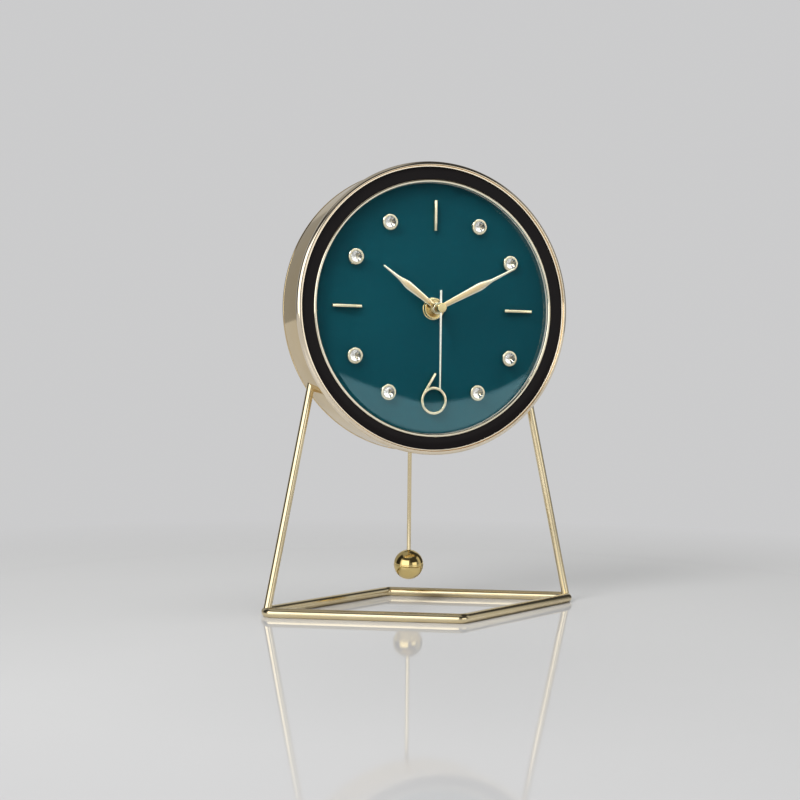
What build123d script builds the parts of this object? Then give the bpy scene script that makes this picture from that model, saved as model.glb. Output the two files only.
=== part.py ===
from build123d import *
from math import atan2, cos, degrees, hypot, radians, sin, sqrt
import os

# Desk pendulum clock, in millimetres. +Z is up and the dial faces -Y.
# The origin is on the table, under the middle of the base.
# The case, dial, movement and pendulum are drawn as seen from the front, from the dial's centre:
# x to the right, y up and z towards the viewer. upright() stands such a piece in the clock.

# Stand
rod_diameter = 6.0
base_half_width = 107.2
base_half_depth = 60.1
corner_bend_radius = 5.5
ground_flat_depth = 0.25
strut_diameter = 4.8
strut_lean = 5.1
strut_weld_angle = 33.8
dial_centre_height = 186.8

# Case
bezel_radius = 90.0
bead_diameter = 3.4
bead_plane = 16.4
bead_stretch = 1.0
band_inset = 1.5
band_wall = 1.2
band_back = 15.7
band_roll_diameter = 1.8
black_ring_width = 7.4
black_ring_front = 16.05
black_ring_thickness = 1.6
black_ring_chamfer = 0.3
seat_thickness = 1.2
seat_step = 0.2
spigot_wall = 1.6
fit_gap = 0.1
rim_front = 16.6
rim_wall = 1.3
rim_lip = 0.8
rim_lip_thickness = 1.1
rim_edge_round = 0.35
glass_thickness = 1.8
glass_dome_height = 16.5
glass_edge_gap = 0.1
glass_lip_gap = 0.3
gasket_width = 0.9
gasket_depth = 1.0
dial_front = 10.2
dial_thickness = 1.2
dial_edge_gap = 0.2
dial_flange_width = 7.3
cover_thickness = 1.6
cover_recess = 0.8
cover_gap = 0.3
cover_ledge_width = 6.0
cover_ledge_thickness = 2.4
cover_corner_radius = 3.3
cover_screw_count = 4
cover_screw_radius = 1.1
cover_screw_head_radius = 2.4
cover_screw_head_height = 1.1
cover_screw_slot_width = 0.6
cover_screw_slot_depth = 0.5
cover_screw_first_angle = 45

# Dial markers: their places are shares of the radius that shows through the rim
marker_height = 3.4
marker_width = 1.6
marker_length_share = 0.2412
marker_place_share = 0.7393
six_place_share = 0.7328
six_outer_radius = 8.5
six_stroke = 1.5
six_stem_reach_share = 1.97
six_stem_side = 0.9
crystal_place_share = 0.7717
crystal_hours = (1, 2, 4, 5, 7, 8, 10, 11)
cup_radius = 5.0
cup_height = 3.2
cup_lip = 1.2
cup_foot_radius = 4.5
cup_foot_height = 0.9
stone_radius = 3.4
stone_top = 15.05
stone_table_share = 0.56
stone_star_share = 0.82
stone_girdle_height = 0.35
stone_crown_height = 1.3
stone_culet_share = 0.12
stone_side_count = 8

# Hands: lengths are shares of the radius that shows, and widths lie at shares of the length
hour_hand_share = 0.5616
minute_hand_share = 0.74
second_hand_share = 0.6381
second_hand_tail_share = 0.14
hand_wide_share = 0.55
hour_hand_neck_share = 0.71
minute_hand_neck_share = 0.69
hour_hand_width = 5.0
minute_hand_width = 4.9
hand_base_width = 2.6
hand_neck_width = 1.9
hand_tip_width = 1.1
hand_bend_radius = 14.0
hand_thickness = 0.5
hand_edge_bevel = 0.16
hour_hand_boss_radius = 3.5
minute_hand_boss_radius = 3.3
hand_boss_height = 1.2
second_hand_width = 1.3
second_hand_tip_width = 0.9
second_hand_thickness = 0.35
second_cap_radius = 3.0
second_cap_front = 24.9
second_cap_height = 2.2
second_cap_round = 0.4
hour_hand_plane = 16.4
minute_hand_plane = 19.4
hour_step_angle = 30
shown_hour_angle = 300
shown_minute_angle = 63
shown_second_angle = 180

# Movement housing
movement_half_width = 29.0
movement_top = 30.5
movement_bottom = 28.0
movement_corner_radius = 3.0
movement_wall = 1.6
movement_gap_behind_dial = 1.0
movement_depth = 22.0
movement_front_shell_depth = 11.0
partition_thickness = 1.2
bush_radius = 4.0
bush_length = 6.2
rubber_radius = 12.0
washer_radius = 6.9
washer_thickness = 0.6
nut_radius = 6.5
nut_height = 2.6
nut_groove_inner_radius = 4.6
nut_groove_outer_radius = 5.6
nut_groove_depth = 0.8

# Shafts and gears
running_clearance = 0.05
seconds_arbor_radius = 0.55
cannon_radius = 1.6
hour_pipe_radius = 2.45
arbor_radius = 0.6
tip_share = 0.75
root_share = 1.0
tip_half_share = 0.12
root_half_share = 0.27
main_module = 0.5
fast_module = 0.4
wheel_thickness = 1.0
pinion_overhang = 0.3
rotor_pinion_teeth = 6
intermediate_teeth = 36
intermediate_pinion_teeth = 6
seconds_wheel_teeth = 30
seconds_pinion_teeth = 6
third_wheel_teeth = 45
third_pinion_teeth = 6
centre_wheel_teeth = 48
cannon_teeth = 10
minute_wheel_teeth = 30
minute_pinion_teeth = 8
hour_wheel_teeth = 32
setting_teeth = 20
third_angle = 200
intermediate_angle = -40
rotor_angle = -60
minute_wheel_angle = 20
setting_angle = -50
minute_to_hour = cannon_teeth * minute_pinion_teeth / (minute_wheel_teeth * hour_wheel_teeth)

# Depths of the gear layers, each the back face of a wheel
hour_wheel_plane = 4.9
minute_wheel_plane = 3.0
centre_wheel_plane = 0.9
third_wheel_plane = -2.2
seconds_wheel_plane = -4.2
intermediate_plane = -6.4
middle_plate_plane = -0.5
middle_plate_thickness = 0.8
middle_plate_margin = 2.5
post_radius = 1.6
post_inset = 2.2
bearing_boss_radius = 1.4
bearing_depth = 1.0
slow_bearing_top = -2.9
fast_bearing_top = -7.0
rotor_bearing_top = -11.0
rotor_magnet_radius = 3.2
rotor_magnet_back = -10.4
rotor_magnet_length = 2.8
spoke_hole_share = 0.62
spoke_hole_radius_share = 0.2
spoke_hole_count = 5

# Motor and circuit
stator_gap = 0.5
stator_back = -9.6
stator_thickness = 1.2
stator_pole_half_height = 4.15
stator_left = -15.0
stator_right = 17.0
stator_neck_height = 4.2
stator_neck_end = 5.0
coil_core_bottom = -25.0
coil_core_height = 3.4
stator_leg_width = 3.5
coil_left = -9.0
coil_right = 11.0
coil_wall = 1.3
coil_depth = 5.6
coil_round = 0.9
board_left = -25.0
board_right = -3.0
board_bottom = -1.8
board_top = 11.0
board_back = -11.2
board_thickness = 1.0
standoff_radius = 1.5
chip_radius = 3.0
chip_height = 1.0
can_radius = 1.0
can_length = 6.0
setting_knob_radius = 4.5
setting_knob_height = 3.2
setting_knob_gap = 0.3
setting_knob_grip_count = 12
setting_knob_grip_radius = 0.5

# Battery
battery_radius = 7.1
battery_length = 49.2
battery_nub_radius = 2.6
battery_nub_length = 1.2
battery_floor_gap = 0.3
battery_slot_gap = 0.2
battery_slot_half_width = 27.0
contact_thickness = 0.5
contact_half_width = 4.0
contact_gap = 0.3

# Pendulum and its drive
pendulum_plane = 23.9
pivot_drop = 11.0
drive_box_half_width = 11.0
drive_box_top = 7.0
drive_box_depth = 7.0
drive_box_round = 1.2
drive_coil_drop = 22.0
drive_coil_inner_radius = 2.2
drive_coil_outer_radius = 4.6
drive_coil_depth = 2.4
drive_coil_recess = 0.2
suspension_pin_radius = 1.0
suspension_pin_seat = 4.0
suspension_pin_head_radius = 2.0
suspension_pin_head_height = 0.9
suspension_boss_radius = 3.0
hanger_thickness = 2.0
hanger_side_gap = 0.4
hanger_eye_radius = 3.4
hanger_arm_width = 5.0
hanger_hole_radius = 2.0
hanger_hole_drop = 36.0
hanger_end_radius = 3.3
hanger_disc_radius = 4.0
magnet_radius = 3.0
magnet_gap = 0.5
pendulum_rod_diameter = 2.6
rod_eye_radius = 4.5
rod_eye_wire_diameter = 2.0
ball_diameter = 19.0
ball_centre_height = 24.9
ball_socket_depth = 5.0

overrun = 2.0

# Values that follow
strut_radius = strut_diameter / 2
rod_radius = rod_diameter / 2
bead_radius = bead_diameter / 2
bead_centre_radius = bezel_radius - bead_radius
band_radius = bezel_radius - band_inset
black_ring_outer_radius = bezel_radius - bead_diameter
black_ring_inner_radius = black_ring_outer_radius - black_ring_width
black_ring_back = black_ring_front - black_ring_thickness
seat_back = black_ring_back - seat_thickness
seat_outer_radius = band_radius - seat_step
band_inner_radius = band_radius - band_wall
spigot_radius = band_inner_radius - fit_gap
dial_back = dial_front - dial_thickness
dial_radius = spigot_radius - spigot_wall - dial_edge_gap
rim_bore_radius = black_ring_inner_radius - rim_wall
rim_lip_radius = rim_bore_radius - rim_lip
marker_length = rim_lip_radius * marker_length_share
marker_centre_radius = rim_lip_radius * marker_place_share
six_centre_radius = rim_lip_radius * six_place_share
crystal_circle_radius = rim_lip_radius * crystal_place_share
hour_hand_length = rim_lip_radius * hour_hand_share
minute_hand_length = rim_lip_radius * minute_hand_share
second_hand_length = rim_lip_radius * second_hand_share
second_hand_tail = rim_lip_radius * second_hand_tail_share
glass_front = rim_front - rim_lip_thickness
glass_back = glass_front - glass_thickness
glass_radius = rim_bore_radius - glass_edge_gap
glass_dome_edge = rim_lip_radius - glass_lip_gap
cover_radius = band_inner_radius - cover_gap
cover_back = band_back - cover_recess
cover_front = cover_back - cover_thickness
cover_screw_circle = band_inner_radius - cover_ledge_width / 2
movement_front = dial_back - movement_gap_behind_dial
movement_back = movement_front - movement_depth
movement_split = movement_front - movement_front_shell_depth
front_wall_inside = movement_front - movement_wall
rear_wall_inside = movement_back + movement_wall
inside_half_width = movement_half_width - movement_wall
inside_top = movement_top - movement_wall
inside_bottom = movement_wall - movement_bottom
bush_front = movement_front + bush_length
bush_bore = hour_pipe_radius + running_clearance
nut_back = dial_front + washer_thickness
cannon_bore = seconds_arbor_radius + running_clearance
hour_pipe_bore = cannon_radius + running_clearance
second_hand_plane = second_cap_front - second_cap_height - second_hand_thickness
bearing_radius = arbor_radius + running_clearance
cup_top = dial_front + cup_height
stone_girdle = stone_top - stone_crown_height


def upright(piece):
    return Pos(0, 0, dial_centre_height) * Rot(90, 0, 0) * piece


def save(node, shape):
    export_step(shape, "parts/" + node + ".step")


def polar(radius, angle):
    return (radius * cos(radians(angle)), radius * sin(radians(angle)))


def disc(radius, back, front, at=(0, 0)):
    return Pos(at[0], at[1], back) * extrude(Circle(radius), front - back)


def tube(outer, inner, back, front, at=(0, 0)):
    return Pos(at[0], at[1], back) * extrude(Circle(outer) - Circle(inner), front - back)


def slab(left, right, bottom, top, back, front):
    middle = Pos((left + right) / 2, (bottom + top) / 2, back)
    return middle * extrude(Rectangle(right - left, top - bottom), front - back)


def rounded_slab(half_width, bottom, top, radius, back, front):
    middle = Pos(0, (bottom + top) / 2, back)
    return middle * extrude(RectangleRounded(2 * half_width, top - bottom, radius), front - back)


def turned(*edges):
    return revolve(make_face(Wire(edges)), Axis.Z)


def turned_outline(points):
    return revolve(make_face(Polyline([(r, 0, z) for r, z in points], close=True)), Axis.Z)


def bead(radius, ring_radius, plane):
    return Pos(0, 0, plane) * Torus(ring_radius, radius)


def on_circle(radius, angles):
    return [Pos(*polar(radius, angle)) for angle in angles]


def clock_angle(hour):
    return 90 - hour * hour_step_angle


# Base: a rhombus of round rod, ground flat underneath
def make_base_frame():
    corners = [
        (-base_half_width, 0, 0),
        (0, -base_half_depth, 0),
        (base_half_width, 0, 0),
        (0, base_half_depth, 0),
    ]
    path = FilletPolyline(corners, radius=corner_bend_radius, close=True)
    section = Plane(origin=path @ 0, z_dir=path % 0) * Circle(rod_radius)
    rod = Pos(0, 0, rod_radius - ground_flat_depth) * sweep(section, path)
    room = Box(3 * base_half_width, 3 * base_half_depth, rod_diameter)
    return rod & (Pos(0, 0, rod_radius) * room)


def strut_foot():
    half_angle = atan2(base_half_depth, base_half_width)
    bend_apex = base_half_width - corner_bend_radius * (1 / sin(half_angle) - 1)
    return Vector(bend_apex, 0, rod_radius - ground_flat_depth)


def strut_weld():
    across, down = polar(band_radius, strut_weld_angle)
    return Vector(across, strut_lean, dial_centre_height - down)


def make_strut(base_frame):
    foot = strut_foot()
    weld = strut_weld()
    along = weld - foot
    length = along.length + strut_diameter
    rod = Plane(origin=foot, z_dir=along) * extrude(Circle(strut_radius), length)
    case_room = upright(disc(band_radius, -band_back - overrun, bead_plane + overrun))
    return rod - base_frame - case_room


# Case
def make_case_band():
    wall = tube(band_radius, band_inner_radius, band_roll_diameter / 2 - band_back, seat_back)
    flange_inner = band_inner_radius - dial_flange_width
    dial_flange = tube(band_inner_radius, flange_inner, dial_back - band_wall, dial_back)
    ledge_inner = band_inner_radius - cover_ledge_width
    ledge = tube(band_inner_radius, ledge_inner, -cover_front, cover_ledge_thickness - cover_front)
    roll_radius = band_roll_diameter / 2
    roll = bead(roll_radius, band_radius - band_wall / 2, roll_radius - band_back)
    band = wall + dial_flange + ledge + roll
    for place in cover_screw_places():
        band -= place * disc(cover_screw_radius, -band_back, overrun - cover_front + cover_ledge_thickness)
    return band


def make_bezel_ring():
    seat = tube(seat_outer_radius, black_ring_inner_radius, seat_back, black_ring_back)
    neck = tube(seat_outer_radius, black_ring_outer_radius, seat_back, bead_plane)
    rear_plane = bead_plane - bead_stretch
    ring = tube(bezel_radius, black_ring_outer_radius, rear_plane, bead_plane)
    for plane in (rear_plane, bead_plane):
        ring += bead(bead_radius, bead_centre_radius, plane)
    spigot = tube(spigot_radius, spigot_radius - spigot_wall, dial_back, seat_back)
    return seat + neck + ring + spigot


def make_black_ring():
    chamfer_radius = black_ring_inner_radius + black_ring_chamfer
    return turned_outline(
        [
            (black_ring_inner_radius, black_ring_back),
            (black_ring_outer_radius, black_ring_back),
            (black_ring_outer_radius, black_ring_front - black_ring_chamfer),
            (black_ring_outer_radius - black_ring_chamfer, black_ring_front),
            (chamfer_radius, black_ring_front),
            (black_ring_inner_radius, black_ring_front - black_ring_chamfer),
        ]
    )


def make_inner_rim():
    body = turned_outline(
        [
            (rim_bore_radius, dial_front),
            (black_ring_inner_radius, dial_front),
            (black_ring_inner_radius, rim_front),
            (rim_lip_radius, rim_front),
            (rim_lip_radius, glass_front),
            (rim_bore_radius, glass_front),
        ]
    )
    front_edges = body.edges().group_by(Axis.Z)[-1]
    return fillet(front_edges, rim_edge_round)


def dome_arc(edge_radius, edge_height, top_height):
    rise = top_height - edge_height
    sphere = (edge_radius**2 + rise**2) / (2 * rise)
    middle_radius = edge_radius / 2
    middle_height = top_height - sphere + sqrt(sphere**2 - middle_radius**2)
    return ThreePointArc((0, 0, top_height), (middle_radius, 0, middle_height), (edge_radius, 0, edge_height))


def make_glass():
    front_top = glass_front + glass_dome_height
    back_top = front_top - glass_thickness
    back_edge = glass_dome_edge - glass_thickness / 2
    return turned(
        dome_arc(glass_dome_edge, glass_front, front_top),
        Line((glass_dome_edge, 0, glass_front), (glass_radius, 0, glass_front)),
        Line((glass_radius, 0, glass_front), (glass_radius, 0, glass_back)),
        Line((glass_radius, 0, glass_back), (back_edge, 0, glass_back)),
        dome_arc(back_edge, glass_back, back_top),
        Line((0, 0, back_top), (0, 0, front_top)),
    )


def make_back_cover():
    cover = disc(cover_radius, -cover_back, -cover_front)
    opening = rounded_slab(
        movement_half_width + cover_gap,
        -movement_bottom - cover_gap,
        movement_top + cover_gap,
        cover_corner_radius,
        -cover_back - overrun,
        overrun - cover_front,
    )
    cover -= opening
    for place in cover_screw_places():
        cover -= place * disc(cover_screw_radius, -cover_back - overrun, overrun - cover_front)
    return cover


def cover_screw_places():
    step = 360 / cover_screw_count
    angles = [cover_screw_first_angle + step * i for i in range(cover_screw_count)]
    return on_circle(cover_screw_circle, angles)


def make_cover_screw():
    shank = disc(cover_screw_radius, -cover_back, cover_ledge_thickness - cover_front)
    head_back = -cover_back - cover_screw_head_height
    head = disc(cover_screw_head_radius, head_back, -cover_back)
    slot_half = cover_screw_slot_width / 2
    slot = slab(
        -cover_screw_head_radius - overrun,
        cover_screw_head_radius + overrun,
        -slot_half,
        slot_half,
        head_back - overrun,
        head_back + cover_screw_slot_depth,
    )
    return shank + head - slot


# Dial and markers
def make_dial():
    return tube(dial_radius, bush_radius, dial_back, dial_front)


def make_bar(hour):
    half_length = marker_length / 2
    half_width = marker_width / 2
    bar = slab(-half_length, half_length, -half_width, half_width, dial_front, dial_front + marker_height)
    angle = clock_angle(hour)
    return Pos(*polar(marker_centre_radius, angle)) * Rot(0, 0, angle) * bar


def make_numeral_six():
    stroke_radius = six_outer_radius - six_stroke / 2
    ring = Circle(six_outer_radius) - Circle(six_outer_radius - six_stroke)
    top = (six_stem_side, six_stem_reach_share * six_outer_radius)
    reach = hypot(*top)
    # The stem leaves the ring along its tangent on the left
    tangent = sqrt(reach**2 - stroke_radius**2)
    touch_angle = degrees(atan2(top[1], top[0]) + atan2(tangent, stroke_radius))
    touch = polar(stroke_radius, touch_angle)
    length = hypot(top[0] - touch[0], top[1] - touch[1])
    lean = degrees(atan2(top[1] - touch[1], top[0] - touch[0]))
    middle = Pos((top[0] + touch[0]) / 2, (top[1] + touch[1]) / 2)
    stem = middle * Rot(0, 0, lean) * Rectangle(length, six_stroke)
    return Pos(0, -six_centre_radius, dial_front) * extrude(ring + stem, marker_height)


def make_cup():
    return turned_outline(
        [
            (0, dial_front),
            (cup_foot_radius, dial_front),
            (cup_radius, dial_front + cup_foot_height),
            (cup_radius, cup_top - cup_lip / 2),
            (cup_radius - cup_lip / 2, cup_top),
            (stone_radius, cup_top),
            (stone_radius * stone_culet_share, dial_front + cup_foot_height),
            (0, dial_front + cup_foot_height),
        ]
    )


def ring_points(radius, height, sides, turn):
    step = 360 / sides
    return [(*polar(radius, turn + step * i), height) for i in range(sides)]


def make_stone():
    half_step = 180 / stone_side_count
    girdle_sides = 2 * stone_side_count
    culet = cup_top - (cup_top - dial_front - cup_foot_height) * (1 - stone_culet_share)
    star_height = stone_girdle + stone_crown_height * stone_table_share
    points = ring_points(stone_radius * stone_table_share, stone_top, stone_side_count, 0)
    points += ring_points(stone_radius * stone_star_share, star_height, stone_side_count, half_step)
    points += ring_points(stone_radius, stone_girdle, girdle_sides, 0)
    points += ring_points(stone_radius, cup_top, girdle_sides, 0)
    points += ring_points(stone_radius * stone_culet_share, culet, stone_side_count, 0)
    return ConvexPolyhedron(points)


# Hands point up at twelve and are then turned to the time shown
def hand_blade(length, wide, neck_share, boss_radius, bore, back):
    base = hand_base_width / 2
    neck = hand_neck_width / 2
    tip = hand_tip_width / 2
    half = wide / 2
    right = [(base, 0), (half, length * hand_wide_share), (neck, length * neck_share), (tip, length - tip)]
    left = [(-x, y) for x, y in reversed(right)]
    outline = make_face(Polyline(right + [(0, length)] + left, close=True))
    shoulder = length * hand_wide_share - tip
    bends = [v for v in outline.vertices() if shoulder < v.Y < length * neck_share + tip]
    outline = fillet(bends, hand_bend_radius)
    blade = Pos(0, 0, back) * extrude(outline + Circle(boss_radius), hand_thickness)
    blade = chamfer(blade.edges().group_by(Axis.Z)[-1], hand_edge_bevel)
    boss = disc(boss_radius - hand_thickness, back - hand_boss_height + hand_thickness, back)
    return blade + boss - disc(bore, back - hand_boss_height - overrun, back + hand_boss_height + overrun)


def make_second_hand():
    half = second_hand_width / 2
    tip = second_hand_tip_width / 2
    outline = make_face(
        Polyline(
            (-half, -second_hand_tail),
            (half, -second_hand_tail),
            (half, 0),
            (tip, second_hand_length),
            (-tip, second_hand_length),
            (-half, 0),
            close=True,
        )
    )
    blade = extrude(outline + Circle(second_cap_radius - second_cap_round), second_hand_thickness)
    return Pos(0, 0, second_hand_plane) * (blade - disc(seconds_arbor_radius, -overrun, overrun))


def make_second_cap():
    back = second_cap_front - second_cap_height
    cap = disc(second_cap_radius, back, second_cap_front)
    cap = fillet(cap.edges().group_by(Axis.Z)[-1], second_cap_round)
    return cap - disc(seconds_arbor_radius, back - overrun, second_cap_front - second_cap_height / 2)


# Gears
def gear_face(teeth, module, phase, bore):
    pitch_radius = teeth * module / 2
    tip_radius = pitch_radius + tip_share * module
    root_radius = pitch_radius - root_share * module
    step = 360 / teeth
    points = []
    for i in range(teeth):
        middle = phase + i * step
        points.append(polar(root_radius, middle - root_half_share * step))
        points.append(polar(tip_radius, middle - tip_half_share * step))
        points.append(polar(tip_radius, middle + tip_half_share * step))
        points.append(polar(root_radius, middle + root_half_share * step))
    outline = make_face(Polyline(points, close=True))
    return outline - Circle(bore) if bore > 0 else outline


def wheel(teeth, module, phase, bore, back, thickness):
    return Pos(0, 0, back) * extrude(gear_face(teeth, module, phase, bore), thickness)


def spoked(blank, teeth, module, back):
    pitch_radius = teeth * module / 2
    angles = [360 / spoke_hole_count * i for i in range(spoke_hole_count)]
    for place in on_circle(pitch_radius * spoke_hole_share, angles):
        blank -= place * disc(pitch_radius * spoke_hole_radius_share, back - overrun, back + overrun)
    return blank


def pinion(teeth, module, phase, bore, wheel_back):
    long = wheel_thickness + 2 * pinion_overhang
    return wheel(teeth, module, phase, bore, wheel_back - pinion_overhang, long)


def meshed_phase(lead_teeth, lead_phase, teeth, towards):
    # The phase that puts a gap of the driven gear opposite a tooth of the lead
    into_tooth = (towards - lead_phase) * lead_teeth / 360
    return towards + 180 - (0.5 - into_tooth) * 360 / teeth


def step_from(origin, distance, angle):
    dx, dy = polar(distance, angle)
    return (origin[0] + dx, origin[1] + dy)


# The going train, back from the centre: seconds pinion to third wheel, third pinion to centre wheel
centre = (0, 0)
third_distance = main_module * (seconds_pinion_teeth + third_wheel_teeth) / 2
centre_module = 2 * third_distance / (third_pinion_teeth + centre_wheel_teeth)
third_at = step_from(centre, third_distance, third_angle)
intermediate_distance = main_module * (intermediate_pinion_teeth + seconds_wheel_teeth) / 2
intermediate_at = step_from(centre, intermediate_distance, intermediate_angle)
rotor_distance = fast_module * (rotor_pinion_teeth + intermediate_teeth) / 2
rotor_at = step_from(intermediate_at, rotor_distance, rotor_angle)
# The motion work in front: cannon pinion to minute wheel, minute pinion to hour wheel
minute_distance = main_module * (cannon_teeth + minute_wheel_teeth) / 2
hour_module = 2 * minute_distance / (minute_pinion_teeth + hour_wheel_teeth)
minute_wheel_at = step_from(centre, minute_distance, minute_wheel_angle)
setting_distance = main_module * (minute_wheel_teeth + setting_teeth) / 2
setting_at = step_from(minute_wheel_at, setting_distance, setting_angle)

third_phase = meshed_phase(seconds_pinion_teeth, 0, third_wheel_teeth, third_angle)
centre_phase = meshed_phase(third_pinion_teeth, 0, centre_wheel_teeth, third_angle + 180)
intermediate_phase = meshed_phase(seconds_wheel_teeth, 0, intermediate_pinion_teeth, intermediate_angle)
rotor_phase = meshed_phase(intermediate_teeth, 0, rotor_pinion_teeth, rotor_angle)
minute_wheel_phase = meshed_phase(cannon_teeth, 0, minute_wheel_teeth, minute_wheel_angle)
hour_phase = meshed_phase(minute_pinion_teeth, 0, hour_wheel_teeth, minute_wheel_angle + 180)
setting_phase = meshed_phase(minute_wheel_teeth, minute_wheel_phase, setting_teeth, setting_angle)


def make_seconds_wheel():
    rear = fast_bearing_top - bearing_depth + running_clearance
    arbor = disc(seconds_arbor_radius, rear, second_cap_front - second_cap_height / 2)
    blank = wheel(seconds_wheel_teeth, main_module, 0, 0, seconds_wheel_plane, wheel_thickness)
    blank = spoked(blank, seconds_wheel_teeth, main_module, seconds_wheel_plane)
    hub = disc(arbor_radius + arbor_radius, seconds_wheel_plane, third_wheel_plane)
    return arbor + blank + hub + pinion(seconds_pinion_teeth, main_module, 0, 0, third_wheel_plane)


def make_third_wheel():
    rear = slow_bearing_top - bearing_depth + running_clearance
    arbor = disc(arbor_radius, rear, front_wall_inside + bearing_depth - running_clearance)
    blank = wheel(third_wheel_teeth, main_module, third_phase, 0, third_wheel_plane, wheel_thickness)
    blank = spoked(blank, third_wheel_teeth, main_module, third_wheel_plane)
    teeth = pinion(third_pinion_teeth, centre_module, 0, 0, centre_wheel_plane)
    return Pos(*third_at) * (arbor + blank + teeth)


def make_intermediate_wheel():
    rear = fast_bearing_top - bearing_depth + running_clearance
    arbor = disc(arbor_radius, rear, middle_plate_plane + middle_plate_thickness)
    blank = wheel(intermediate_teeth, fast_module, 0, 0, intermediate_plane, wheel_thickness)
    blank = spoked(blank, intermediate_teeth, fast_module, intermediate_plane)
    teeth = pinion(intermediate_pinion_teeth, main_module, intermediate_phase, 0, seconds_wheel_plane)
    return Pos(*intermediate_at) * (arbor + blank + teeth)


def make_rotor_pinion():
    rear = rotor_bearing_top - bearing_depth + running_clearance
    arbor = disc(arbor_radius, rear, middle_plate_plane + middle_plate_thickness)
    teeth = pinion(rotor_pinion_teeth, fast_module, rotor_phase, 0, intermediate_plane)
    return Pos(*rotor_at) * (arbor + teeth)


def make_centre_wheel():
    bore = cannon_radius + running_clearance
    blank = wheel(centre_wheel_teeth, centre_module, centre_phase, bore, centre_wheel_plane, wheel_thickness)
    return spoked(blank, centre_wheel_teeth, centre_module, centre_wheel_plane)


def make_cannon_pinion():
    rear = middle_plate_plane + middle_plate_thickness + running_clearance
    pipe = tube(cannon_radius, cannon_bore, rear, minute_hand_plane + hand_boss_height)
    return pipe + pinion(cannon_teeth, main_module, 0, cannon_bore, minute_wheel_plane)


def make_minute_wheel():
    # The arbor ends behind its wheel, in front of the centre wheel
    rear = minute_wheel_plane - pinion_overhang
    arbor = disc(arbor_radius, rear, front_wall_inside + bearing_depth - running_clearance)
    blank = wheel(minute_wheel_teeth, main_module, minute_wheel_phase, 0, minute_wheel_plane, wheel_thickness)
    long = hour_wheel_plane - minute_wheel_plane + wheel_thickness + pinion_overhang / 2
    teeth = wheel(minute_pinion_teeth, hour_module, 0, 0, minute_wheel_plane, long)
    return Pos(*minute_wheel_at) * (arbor + blank + teeth)


def make_hour_wheel():
    pipe = tube(hour_pipe_radius, hour_pipe_bore, hour_wheel_plane, hour_hand_plane + hand_boss_height)
    return pipe + wheel(
        hour_wheel_teeth, hour_module, hour_phase, hour_pipe_bore, hour_wheel_plane, wheel_thickness
    )


def make_setting_wheel():
    rear = movement_back - setting_knob_gap - setting_knob_height / 2
    arbor = disc(arbor_radius, rear, front_wall_inside + bearing_depth - running_clearance)
    blank = wheel(setting_teeth, main_module, setting_phase, 0, minute_wheel_plane, wheel_thickness)
    return Pos(*setting_at) * (arbor + blank)


def make_setting_knob():
    front = movement_back - setting_knob_gap
    knob = disc(setting_knob_radius, front - setting_knob_height, front)
    angles = [360 / setting_knob_grip_count * i for i in range(setting_knob_grip_count)]
    for place in on_circle(setting_knob_radius, angles):
        knob -= place * disc(setting_knob_grip_radius, front - setting_knob_height - overrun, front + overrun)
    knob -= disc(arbor_radius, front - setting_knob_height / 2, front + overrun)
    return Pos(*setting_at) * knob


# Movement housing, with the battery lying across its top
battery_bay_half = battery_radius + battery_floor_gap + battery_slot_gap
battery_rise = inside_top - battery_bay_half
battery_depth_centre = front_wall_inside - battery_floor_gap - battery_radius


def partition(back, front):
    bottom = inside_top - 2 * battery_bay_half - partition_thickness
    return slab(-inside_half_width, inside_half_width, bottom, bottom + partition_thickness, back, front)


def movement_block(back, front, margin):
    return rounded_slab(
        movement_half_width - margin,
        margin - movement_bottom,
        movement_top - margin,
        movement_corner_radius - margin,
        back,
        front,
    )


def make_front_shell():
    shell = movement_block(movement_split, movement_front, 0)
    shell -= movement_block(movement_split - overrun, front_wall_inside, movement_wall)
    shell += partition(movement_split, front_wall_inside)
    shell -= disc(bush_radius, front_wall_inside - overrun, movement_front + overrun)
    for place in (third_at, minute_wheel_at, setting_at):
        shell -= disc(bearing_radius, front_wall_inside - overrun, front_wall_inside + bearing_depth, place)
    return shell


def make_rear_shell():
    shell = movement_block(movement_back, movement_split, 0)
    shell -= movement_block(rear_wall_inside, movement_split + overrun, movement_wall)
    shell += partition(rear_wall_inside, movement_split)
    slot_half = battery_radius + battery_slot_gap
    shell -= slab(
        -battery_slot_half_width,
        battery_slot_half_width,
        battery_rise - slot_half,
        battery_rise + slot_half,
        movement_back - overrun,
        rear_wall_inside,
    )
    bearings = (
        (third_at, slow_bearing_top, bearing_radius),
        (centre, fast_bearing_top, cannon_bore),
        (intermediate_at, fast_bearing_top, bearing_radius),
        (rotor_at, rotor_bearing_top, bearing_radius),
    )
    for place, top, bore in bearings:
        shell += disc(bearing_boss_radius, rear_wall_inside, top, place)
        shell -= disc(bore, top - bearing_depth, top + overrun, place)
    for place in board_standoffs():
        shell += disc(standoff_radius, rear_wall_inside, board_back, place)
    for place in stator_standoffs():
        shell += disc(standoff_radius, rear_wall_inside, stator_back, place)
    return shell - disc(bearing_radius, movement_back - overrun, rear_wall_inside + overrun, setting_at)


def board_standoffs():
    inset = 2 * standoff_radius
    return [(board_left + inset, board_bottom + inset), (board_right - inset, board_top - inset)]


def stator_standoffs():
    height = coil_core_bottom + coil_core_height + standoff_radius
    half_leg = stator_leg_width / 2
    return [(stator_left + half_leg, height), (stator_right - half_leg, height)]


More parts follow.
